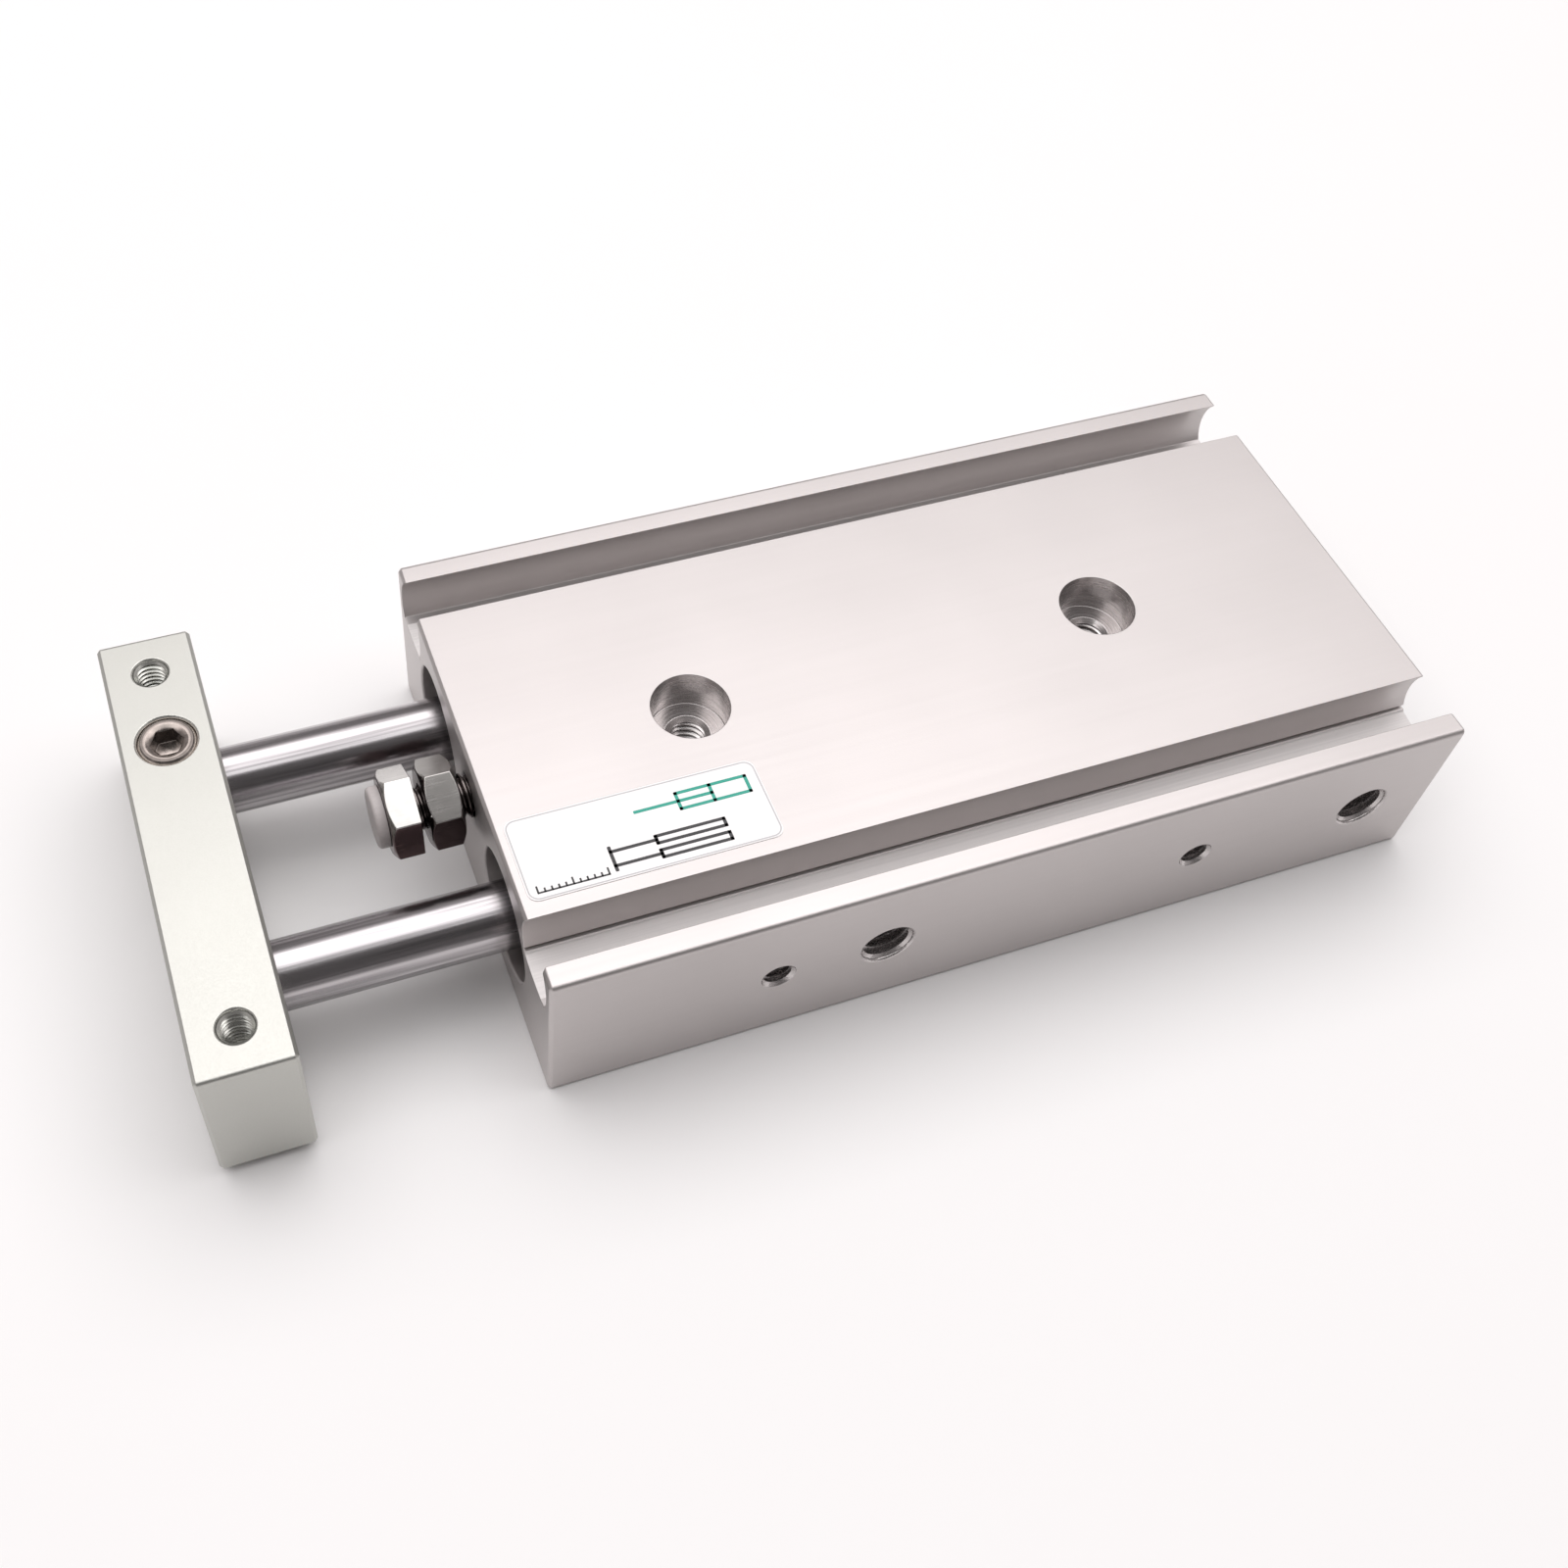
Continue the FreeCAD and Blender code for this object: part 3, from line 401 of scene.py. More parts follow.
def brightened_slot_finish(name, base):
    """Extruded aluminium with drawn lines: a lit copy of the body's finish, painted light, lighter
    and less metallic so that the slots look brighter.
    """
    material, shader = new_material(name, metallic=0.2)
    die_lines = grain(material, 0.22, stretch=(200, 1, 1))
    drawn = vary(material, die_lines, 0, 1)
    join(material, tint(material, drawn, base, 0.12), shader, "Base Color")
    join(material, vary(material, die_lines, 0.52, 0.62), shader, "Roughness")
    relief(material, shader, die_lines, 0.004)
    return material


def anodised_plate(name, base):
    """Milled aluminium, etched and clear anodised: as matt as the body, with no die lines."""
    material, shader = new_material(name, metallic=1.0)
    speckle = grain(material, 0.14, detail=3.0)
    cloud = grain(material, 12.0)
    join(material, tint(material, vary(material, cloud, 0, 1), base, 0.04), shader, "Base Color")
    join(material, vary(material, speckle, 0.40, 0.48), shader, "Roughness")
    relief(material, shader, speckle, 0.005)
    return material


def hard_chrome(name, base):
    """Hard chrome, ground and polished: faint rings from the wheel, and long oily smears."""
    material, shader = new_material(name, metallic=1.0)
    rings = grain(material, 0.25, stretch=(1, 30, 30), detail=3.0)
    smears = grain(material, 0.45, stretch=(60, 1, 1), detail=3.0)
    oily = vary(material, smears, 0, 1, (0.38, 0.56))
    join(material, tint(material, oily, base, 0.42), shader, "Base Color")
    join(material, vary(material, smears, 0.28, 0.17), shader, "Roughness")
    relief(material, shader, rings, 0.0012)
    return material


def plated_steel(name, base, oil_and_shade):
    """Cold-formed steel, plated: fine lines on the flats, and painted shade in brown on faces that
    look sideways or down.
    """
    material, shader = new_material(name, metallic=1.0)
    lines = grain(material, 0.12, stretch=(16, 1, 1), detail=2.0)
    stain = grain(material, 1.2)
    unshaded = tint(material, vary(material, stain, 0, 1), base, 0.1)
    # Painted shade: faces that look sideways or down are multiplied by a brown, faces that look up
    # keep the plain colour
    shaded_brown = mix(material, 1.0, unshaded, (*oil_and_shade, 1.0), "MULTIPLY")
    film = mix(material, facing_up(material, 0, (0.12, 0.45)), shaded_brown, unshaded)
    join(material, film, shader, "Base Color")
    join(material, vary(material, lines, 0.2, 0.28), shader, "Roughness")
    relief(material, shader, lines, 0.0008)
    return material


def browned_steel(name, base, centre):
    """Steel with a black oxide, partly rubbed off: brown in the hollows, bright with wear and a
    painted highlight on the rim round centre, with painted light on the socket's floor and painted
    shade on steep walls.
    """
    material, shader = new_material(name, metallic=1.0)
    wear = grain(material, 0.7, detail=4.0)
    radius, _ = from_axis(material, centre)
    inner, outer = 1.0 * MM, 2.6 * MM
    inputs = {0: vary(material, radius, 0, 1, (inner, outer))}
    wear_and_light_ramp = add_node(material, "ShaderNodeValToRGB", inputs)
    # The place from the inner to the outer radius, and how much brighter the brown is there:
    # painted light on the socket's floor, wear with a painted highlight on the rim and its outer
    # edge
    painted_light_socket_floor = ((0.0, 3.4), (0.1, 3.4))
    rim = ((0.17, 2.2), (0.45, 2.6), (0.58, 2.2))
    groove = ((0.64, 1.0), (0.78, 1.3))
    outer_rim = ((0.86, 2.8),)
    worn_and_lit = painted_light_socket_floor + rim + groove + outer_rim
    ramp = wear_and_light_ramp.color_ramp
    while len(ramp.elements) < len(worn_and_lit):
        ramp.elements.new(0.5)
    for element, (place, bright) in zip(ramp.elements, worn_and_lit):
        element.position = place
        element.color = (0.93 * bright, bright, bright, 1.0)
    brown = tint(material, vary(material, wear, 0, 1), base, 0.35)
    # Painted shade: faces that look sideways or down, such as the socket's walls, keep only 0.35 of
    # this brightness
    inputs = {0: wear_and_light_ramp.outputs[0], 3: facing_up(material, 0.35, (0.1, 0.5))}
    bright = add_node(material, "ShaderNodeVectorMath", inputs, operation="SCALE").outputs[0]
    join(material, mix(material, 1.0, brown, bright, "MULTIPLY"), shader, "Base Color")
    join(material, vary(material, wear, 0.2, 0.34), shader, "Roughness")
    relief(material, shader, wear, 0.006)
    return material


def turned_alloy(name, base):
    """Bare aluminium alloy from the lathe, with the tool's fine rings."""
    material, shader = new_material(name, metallic=1.0)
    rings = grain(material, 0.12, stretch=(1, 60, 60), detail=2.0)
    join(material, tint(material, rings, base, 0.15), shader, "Base Color")
    join(material, vary(material, rings, 0.25, 0.4), shader, "Roughness")
    relief(material, shader, rings, 0.006)
    return material


def phosphated_spring(name, base):
    """Stamped spring steel with a dark phosphate coat: a fine dull tooth."""
    material, shader = new_material(name, metallic=0.7)
    tooth = grain(material, 0.1, detail=4.0)
    join(material, tint(material, tooth, base, 0.3), shader, "Base Color")
    join(material, vary(material, tooth, 0.42, 0.58), shader, "Roughness")
    relief(material, shader, tooth, 0.006)
    return material


def moulded_rubber(name, base, low, high):
    """Moulded rubber or urethane, a little shiny where it was pressed against the mould."""
    material, shader = new_material(name, metallic=0.0, ior=1.5)
    skin = grain(material, 0.25, detail=4.0)
    join(material, tint(material, skin, base, 0.2), shader, "Base Color")
    join(material, vary(material, skin, low, high), shader, "Roughness")
    relief(material, shader, skin, 0.01)
    return material


def bonded_magnet(name, base):
    """Magnet powder pressed in plastic: dark, with a fine sparkle of grains."""
    material, shader = new_material(name, metallic=0.2)
    powder = grain(material, 0.08, detail=5.0)
    join(material, tint(material, powder, base, 0.4), shader, "Base Color")
    join(material, vary(material, powder, 0.35, 0.6), shader, "Roughness")
    relief(material, shader, powder, 0.008)
    return material


def printed_film(name, base):
    """Printed vinyl film: smooth and slightly glossy, wavy over the metal's grain."""
    material, shader = new_material(name, metallic=0.0, ior=1.46)
    waves = grain(material, 1.5)
    fibres = grain(material, 0.12, detail=3.0)
    join(material, tint(material, fibres, base, 0.02), shader, "Base Color")
    join(material, vary(material, fibres, 0.3, 0.4), shader, "Roughness")
    relief(material, shader, waves, 0.01)
    return material


def painted_floor(name, base):
    """Matt white table paint."""
    material, shader = new_material(name, roughness=0.75, specular_ior_level=0.2)
    mottle = grain(material, 60.0)
    join(material, tint(material, mottle, base, 0.02), shader, "Base Color")
    return material


def dress(material, nodes):
    """Give a material to solids of the frame."""
    for name in nodes:
        solid = frame["nodes"][name]
        solid.data.materials.clear()
        solid.data.materials.append(material)


# Shapes


def new_piece(name, bm, material, body, smooth_angle=radians(30)):
    """Turn a mesh under construction into a piece that rides on a body."""
    mesh = bpy.data.meshes.new(name)
    bmesh.ops.recalc_face_normals(bm, faces=bm.faces)
    bm.to_mesh(mesh)
    bm.free()
    mesh.shade_smooth()
    mesh.set_sharp_from_angle(angle=smooth_angle)
    mesh.materials.append(material)
    piece = bpy.data.objects.new(name, mesh)
    bpy.context.scene.collection.objects.link(piece)
    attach(piece, body)
    return piece


def welded_copy(node, cuts=()):
    """A solid's mesh with its seams joined and its flat faces whole.

    The cuts are planes through holes, as a point and a normal. They keep flat faces free of holes.
    """
    bm = bmesh.new()
    bm.from_mesh(frame["nodes"][node].data)
    bmesh.ops.remove_doubles(bm, verts=bm.verts, dist=WELD)
    for point, normal in cuts:
        whole = bm.verts[:] + bm.edges[:] + bm.faces[:]
        bmesh.ops.bisect_plane(bm, geom=whole, plane_co=point, plane_no=normal, dist=SLIVER)
    for face in bm.faces:
        middle = face.calc_center_median()
        sides = [(middle - Vector(point)).dot(Vector(normal)) > 0 for point, normal in cuts]
        face.material_index = sum(2**index for index, side in enumerate(sides) if side)
    flat = radians(0.5)
    bmesh.ops.dissolve_limit(
        bm, angle_limit=flat, verts=bm.verts, edges=bm.edges, delimit={"MATERIAL"}
    )
    for face in bm.faces:
        face.material_index = 0
    return bm


def mark_edges(bm, hidden=()):
    """Mark the sharp edges to break. Those deep in a hidden bore stay as they are.

    A hidden bore runs along X: its two ends, its axis in Y and Z, and its radius.
    """
    sharp = radians(28)
    marks = bm.edges.layers.float.new("bevel_weight_edge")
    for edge in bm.edges:
        deep = any(
            all(
                start < vert.co.x < end and (vert.co.yz - axis).length < radius
                for vert in edge.verts
            )
            for start, end, axis, radius in hidden
        )
        edge[marks] = float(not deep and edge.calc_face_angle(0.0) > sharp)


def round_edges(piece, width):
    """Break the marked edges, so that they catch the light as worked edges do."""
    edge = piece.modifiers.new("broken_edges", "BEVEL")
    edge.width = width
    edge.segments = 2
    edge.limit_method = "WEIGHT"
    edge.use_clamp_overlap = False
    flats = piece.modifiers.new("flat_faces", "WEIGHTED_NORMAL")
    flats.mode = "FACE_AREA"
    flats.weight = 50


def within(bores):
    """A test for faces that lie within reach of a bore's axis."""
    inverse = [(place.inverted(), reach) for place, reach in bores]

    def chosen(face):
        return any(
            all((back @ vert.co).xy.length < reach for vert in face.verts)
            for back, reach in inverse
        )

    return chosen


def in_sensor_slot(face):
    """True for the walls and the floor of a sensor slot."""
    half_width, depth, rounding = 2.3 * MM, 3.2 * MM, 0.05 * MM
    _, across, height = MOUNTS["left_sensor_slot"]["pos_m"]
    middle = face.calc_center_median()
    beside = abs(abs(middle.y) - across) < half_width
    inside = height - depth < middle.z < BODY_HIGH.z - rounding
    at_an_end = abs(face.normal.x) > 0.5
    return beside and inside and not at_an_end


def worked_copy(
    node, name, material, width, cuts=(), tapped=(), finishes=(), hidden=()
):
    """A solid with broken edges and opened tapped holes, which stands for it.

    Each further finish is a material with a test for the faces that take it.
    """
    body = frame["nodes"][node]["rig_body"]
    bm = welded_copy(node, cuts)
    for group in tapped:
        open_holes(bm, group)
    for index, (_, chosen) in enumerate(finishes, 1):
        for face in bm.faces:
            if chosen(face):
                face.material_index = index
    mark_edges(bm, hidden)
    piece = new_piece(name, bm, material, body, smooth_angle=pi)
    for finish, _ in finishes:
        piece.data.materials.append(finish)
    round_edges(piece, width)
    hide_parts(node)


def ridge(bm, place, start, stop, base, crest, pitch):
    """A thread's ridge wound about +Z of a place, fading out at both ends."""
    margin, foot, flat = 0.42, 0.44, 0.1  # as shares of the pitch
    turns = (stop - start) / pitch - 2 * margin
    count = int(turns * TURN_STEPS)
    fading = TURN_STEPS / 3
    section = ((base, -foot), (crest, -flat), (crest, flat), (base, foot))
    rings = []
    for index in range(count + 1):
        angle = tau * index / TURN_STEPS
        height = start + pitch * (margin + index / TURN_STEPS)
        fade = min(1.0, index / fading, (count - index) / fading)
        ring = []
        for radius, rise in section:
            reach = base + (radius - base) * fade
            point = Vector((reach * cos(angle), reach * sin(angle), height + rise * pitch))
            ring.append(bm.verts.new(place @ point))
        rings.append(ring)
    for ring, after in zip(rings, rings[1:]):
        for corner in range(4):
            following = (corner + 1) % 4
            bm.faces.new((ring[corner], ring[following], after[following], after[corner]))
    bm.faces.new(rings[0])
    bm.faces.new(rings[-1][::-1])


def lead(bm, place, height, outward, outer, crest):
    """The cone that leads into a thread, as a ring on the wall of the hole."""
    rise = outward * (outer - crest)
    wall = outer + OVERLAP
    section = ((wall, height), (crest, height + rise), (wall, height + 1.5 * rise))
    rings = []
    for index in range(ROUND_STEPS):
        angle = tau * index / ROUND_STEPS
        points = [Vector((r * cos(angle), r * sin(angle), z)) for r, z in section]
        rings.append([bm.verts.new(place @ point) for point in points])
    for ring, after in zip(rings, rings[1:] + rings[:1]):
        for corner in range(3):
            following = (corner + 1) % 3
            bm.faces.new((ring[corner], ring[following], after[following], after[corner]))


Tapping = namedtuple("Tapping", "name node holes top bottom through drilled outer pitch bore")


def tapping(name, node, mounts, spots, top, bottom, outer, pitch, bore, through=False):
    """Like tapped holes at spots round the places of mounts. Depths run from there into the metal.

    The bore is how far from its axis the faces of a hole reach.
    """
    holes = []
    for mount in mounts:
        turn = (-Vector(mount["axis"])).to_track_quat("Z", "Y").to_matrix().to_4x4()
        centre = Vector(mount["pos_m"])
        holes += [Matrix.Translation(centre + Vector(spot)) @ turn for spot in spots]
    dims = mounts[0]["dims"]
    drilled = (dims.get("hole_r_mm") or dims["r_mm"]) * MM
    return Tapping(name, node, holes, top, bottom, through, drilled, outer, pitch, bore)


def pair(mount, axis, key):
    """Spots half the mount's spacing to both sides along an axis."""
    reach = Vector(axis) * mount["dims"][key] * MM / 2
    return [-reach, reach]


def tappings(threads):
    """Every group of tapped holes."""
    along, across, up = (1, 0, 0), (0, 1, 0), (0, 0, 1)
    below = MOUNTS["body_bolts"]
    sides = [MOUNTS[f"{side}_side_bolts"] for side in ("left", "right")]
    ports = [MOUNTS[f"{end}_air_port"] for end in ("front", "rear")]
    above = MOUNTS["plate_top_bolts"]
    tools = MOUNTS["plate_face_bolts"]
    deep = below["pos_m"][2]
    rows = pair(tools, across, "spacing_x_mm"), pair(tools, up, "spacing_y_mm")
    corners = [sideways + upward for sideways in rows[0] for upward in rows[1]]
    m3 = {"outer": 1.5 * MM, "pitch": threads.m3_pitch, "bore": 1.8 * MM}
    m4 = {"outer": 2.0 * MM, "pitch": threads.m4_pitch, "bore": 3.7 * MM}
    m5 = {"outer": 2.5 * MM, "pitch": threads.m5_pitch, "bore": 2.8 * MM}
    return [
        tapping(
            "mounting_threads",
            "body_block",
            [below],
            pair(below, along, "spacing_x_mm"),
            top=-deep,
            bottom=deep,
            through=True,
            **m4,
        ),
        tapping(
            "side_threads",
            "body_block",
            sides,
            pair(sides[0], along, "spacing_x_mm"),
            top=-2.46 * MM,
            bottom=1.9 * MM,
            **m3,
        ),
        tapping(
            "port_threads",
            "body_block",
            ports,
            [Vector()],
            top=-2.76 * MM,
            bottom=2.3 * MM,
            **m5,
        ),
        tapping(
            "plate_hole_threads",
            "end_plate",
            [above],
            pair(above, across, "spacing_y_mm"),
            top=-7.35 * MM,
            bottom=7.35 * MM,
            through=True,
            **m3,
        ),
        tapping(
            "tool_hole_threads",
            "end_plate",
            [tools],
            corners,
            top=-2.5 * MM,
            bottom=2.4 * MM,
            **m3,
        ),
    ]


def tapped_in(node, threads):
    """The groups of tapped holes in a node, and each hole's place with its bore."""
    groups = [group for group in tappings(threads) if group.node == node]
    return groups, [(place, group.bore) for group in groups for place in group.holes]


def open_holes(bm, tapped):
    """Widen drilled holes to the outer size of their thread."""
    margin, close = 0.5 * MM, 0.02 * MM
    for place in tapped.holes:
        back = place.inverted()
        for vert in bm.verts:
            spot = back @ vert.co
            radius = spot.xy.length
            if tapped.top - margin < spot.z < tapped.bottom + margin:
                if abs(radius - tapped.drilled) < close:
                    spot.xy *= tapped.outer / radius
                    vert.co = place @ spot


def cut_thread(tapped, depth_share, material):
    """The thread in each hole of a group, with a lead at its open ends."""
    bm = bmesh.new()
    crest = tapped.outer - tapped.pitch * depth_share
    for place in tapped.holes:
        lead(bm, place, tapped.top, 1, tapped.outer, crest)
        if tapped.through:
            lead(bm, place, tapped.bottom, -1, tapped.outer, crest)
        start = tapped.top + 0.7 * (tapped.outer - crest)
        ridge(bm, place, start, tapped.bottom, tapped.outer + OVERLAP, crest, tapped.pitch)
    new_piece(tapped.name, bm, material, frame["nodes"][tapped.node]["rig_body"])


def rounded_outline(low, high, corner, steps=8):
    """Points of a rectangle with round corners, counter-clockwise from above."""
    right, left = high.x - corner, low.x + corner
    upper, lower = high.y - corner, low.y + corner
    points = []
    for index, place in enumerate(((right, upper), (left, upper), (left, lower), (right, lower))):
        centre = Vector(place)
        for step in range(steps + 1):
            angle = (index + step / steps) * pi / 2
            points.append(centre + corner * Vector((cos(angle), sin(angle))))
    return points


def slab(bm, points, bottom, top):
    """A flat sheet of the given outline."""
    lower = [bm.verts.new((*point, bottom)) for point in points]
    upper = [bm.verts.new((*point, top)) for point in points]
    bm.faces.new(lower[::-1])
    bm.faces.new(upper)
    for index in range(len(points)):
        after = (index + 1) % len(points)
        bm.faces.new((lower[index], lower[after], upper[after], upper[index]))


def frame_line(bm, low, high, corner, width, bottom, top):
    """A closed line with round corners."""
    inset = Vector((width, width))
    loops = []
    for points in (
        rounded_outline(low, high, corner),
        rounded_outline(low + inset, high - inset, max(corner - width, width / 4)),
    ):
        for height in (bottom, top):
            loops.append([bm.verts.new((*point, height)) for point in points])
    outer_low, outer_high, inner_low, inner_high = loops
    for index in range(len(outer_low)):
        after = (index + 1) % len(outer_low)
        for first, second in (
            (outer_low, outer_high),
            (outer_high, inner_high),
            (inner_high, inner_low),
            (inner_low, outer_low),
        ):
            bm.faces.new((first[index], first[after], second[after], second[index]))


def box_lines(left, right, low, high):
    """The four sides of a printed rectangle."""
    corners = ((left, low), (right, low), (right, high), (left, high))
    return list(zip(corners, corners[1:] + corners[:1]))


# Operators


class CYLINDER_OT_housing(bpy.types.Operator):
    """Anodise the body and finish what lies in its bores"""

    bl_idname = "cylinder.housing"
    bl_label = "Body and covers"

    def execute(self, context):
        colours = context.scene.cylinder_finishes
        tapped, bores = tapped_in("body_block", context.scene.cylinder_threads)
        below = MOUNTS["body_bolts"]
        centre = (below["dims"]["spacing_x_mm"] * MM / 2, below["pos_m"][1])
        machined = machined_aluminium("machined_body", colours.bored_body, centre)
        # Painted light: the slots take a lighter, less metallic copy of the body's finish
        slot_light = brightened_slot_finish("as_extruded_slot", colours.lighter_slot_colour)
        side_holes = MOUNTS["left_side_bolts"]["pos_m"][2]
        rear, front, reach = BODY_LOW.x + 2 * MM, BODY_HIGH.x - 1.5 * MM, 6.45 * MM
        hidden = []
        for side in ("left", "right"):
            low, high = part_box(f"piston_rod_{side}")
            hidden.append((rear, front, ((low + high) / 2).yz, reach))
        worked_copy(
            "body_block",
            "anodised_body",
            anodised_extrusion("clear_anodised_extrusion", colours.body),
            WIDE_EDGE,
            cuts=[((0, 0, 0), (0, 1, 0)), ((0, 0, side_holes), (0, 0, 1))],
            tapped=tapped,
            finishes=[(machined, within(bores)), (slot_light, in_sensor_slot)],
            hidden=hidden,
        )
        dress(turned_alloy("turned_alloy", colours.turned), SLOT_NODES["bearing_alloy"])
        spring = phosphated_spring("phosphated_spring_steel", colours.spring)
        dress(spring, SLOT_NODES["spring_steel"])
        return {"FINISHED"}


class CYLINDER_OT_soft_parts(bpy.types.Operator):
    """Finish the seals, the cushions and the magnets"""

    bl_idname = "cylinder.soft_parts"
    bl_label = "Seals and cushions"

    def execute(self, context):
        colours = context.scene.cylinder_finishes
        nitrile = moulded_rubber("moulded_nitrile", colours.nitrile, 0.35, 0.5)
        dress(nitrile, SLOT_NODES["nitrile"])
        urethane = moulded_rubber("moulded_urethane", colours.urethane, 0.4, 0.55)
        dress(urethane, SLOT_NODES["urethane"])
        dress(bonded_magnet("bonded_magnet", colours.magnet), SLOT_NODES["magnet"])
        return {"FINISHED"}


class CYLINDER_OT_rods_and_plate(bpy.types.Operator):
    """Chrome the rods and anodise the end plate"""

    bl_idname = "cylinder.rods_and_plate"
    bl_label = "Rods and end plate"

    def execute(self, context):
        colours = context.scene.cylinder_finishes
        dress(hard_chrome("hard_chrome", colours.chrome), SLOT_NODES["hard_chrome"])
        above = MOUNTS["plate_top_bolts"]
        half = above["dims"]["spacing_y_mm"] * MM / 2
        centre = Vector(above["pos_m"])
        machined = machined_aluminium("machined_plate", colours.bored_plate, (centre.x, half))
        tapped, bores = tapped_in("end_plate", context.scene.cylinder_threads)
        screw_reach = 2.8 * MM
        bores.append((Matrix.Translation((SCREW_LOW + SCREW_HIGH) / 2), screw_reach))
        step = MOUNTS["plate_face_bolts"]["dims"]["spacing_y_mm"] * MM / 2
        heights = (centre.z, centre.z - step, centre.z + step)
        worked_copy(
            "end_plate",
            "anodised_plate",
            anodised_plate("clear_anodised_plate", colours.plate),
            PLATE_EDGE,
            cuts=[(centre, (1, 0, 0))] + [((0, 0, height), (0, 0, 1)) for height in heights],
            tapped=tapped,
            finishes=[(machined, within(bores))],
        )
        return {"FINISHED"}


class CYLINDER_OT_fasteners(bpy.types.Operator):
    """Plate the stopper bolt and the nuts, and brown the socket screws"""

    bl_idname = "cylinder.fasteners"
    bl_label = "Bolt, nuts and screws"

    def execute(self, context):
        colours = context.scene.cylinder_finishes
        # Each plated steel carries painted shade in brown on its faces that look sideways or down
        zinc = plated_steel("zinc_plated_steel", colours.zinc, colours.oil_and_shade)
        dress(zinc, SLOT_NODES["zinc_steel"])
        worked_copy("lock_nut", "plated_lock_nut", zinc, WIDE_EDGE)
        head_back = BODY_HIGH.x + 4.85 * MM
        nickel = plated_steel("nickel_plated_steel", colours.nickel, colours.oil_and_shade)
        self.stopper_head(nickel, head_back)
        oiled = plated_steel("oiled_thread", colours.oiled, colours.oil_and_shade)
        self.stopper_thread(oiled, head_back, context.scene.cylinder_threads)
        middle = (SCREW_LOW + SCREW_HIGH) / 2
        centre = (abs(middle.x), abs(middle.y))
        browned = browned_steel("browned_steel", colours.oxide, centre)
        dress(browned, SLOT_NODES["black_steel"])
        worked_copy("rod_set_screw", "browned_set_screw", browned, SCREW_EDGE)
        return {"FINISHED"}

    def stopper_head(self, nickel, head_back):
        """The head of the stopper bolt, cut off the solid, which stands for the bolt."""
        bm = welded_copy("stopper_bolt")
        cut = bmesh.ops.bisect_plane(
            bm,
            geom=bm.verts[:] + bm.edges[:] + bm.faces[:],
            plane_co=(head_back + SLIVER, 0, 0),
            plane_no=(1, 0, 0),
            clear_inner=True,
        )
        rim = [item for item in cut["geom_cut"] if isinstance(item, bmesh.types.BMEdge)]
        bmesh.ops.contextual_create(bm, geom=rim)
        mark_edges(bm)
        body = frame["nodes"]["stopper_bolt"]["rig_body"]
        head = new_piece("stopper_head", bm, nickel, body, smooth_angle=pi)
        round_edges(head, WIDE_EDGE)
        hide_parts("stopper_bolt")

    def stopper_thread(self, oiled, head_back, threads):
        """A cut thread in place of the stopper bolt's plain shank, which reaches into the head."""
        axis = (BOLT_LOW + BOLT_HIGH) / 2
        place = Matrix.Translation((BOLT_LOW.x, axis.y, axis.z)) @ Matrix.Rotation(pi / 2, 4, "Y")
        core_end = head_back - BOLT_LOW.x + 0.4 * MM
        ridge_end = head_back - BOLT_LOW.x + 0.6 * MM
        crest = 2.0 * MM
        core = crest - threads.m4_pitch * threads.depth_share
        bm = bmesh.new()
        bmesh.ops.create_cone(
            bm,
            cap_ends=True,
            segments=ROUND_STEPS,
            radius1=core,
            radius2=core,
            depth=core_end,
            matrix=place @ Matrix.Translation((0, 0, core_end / 2)),
        )
        ridge(bm, place, 0, ridge_end, core - OVERLAP, crest, threads.m4_pitch)
        body = frame["nodes"]["stopper_bolt"]["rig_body"]
        new_piece("stopper_thread", bm, oiled, body)


class CYLINDER_OT_threads(bpy.types.Operator):
    """Cut the threads that show in the tapped holes"""

    bl_idname = "cylinder.threads"
    bl_label = "Tapped holes"

    def execute(self, context):
        threads = context.scene.cylinder_threads
        finishes = {
            "body_block": ("machined_body", "body_anodised"),
            "end_plate": ("machined_plate", "plate_anodised"),
        }
        for tapped in tappings(threads):
            material, slot = finishes[tapped.node]
            cut_thread(tapped, threads.depth_share, bpy.data.materials[material])
        return {"FINISHED"}


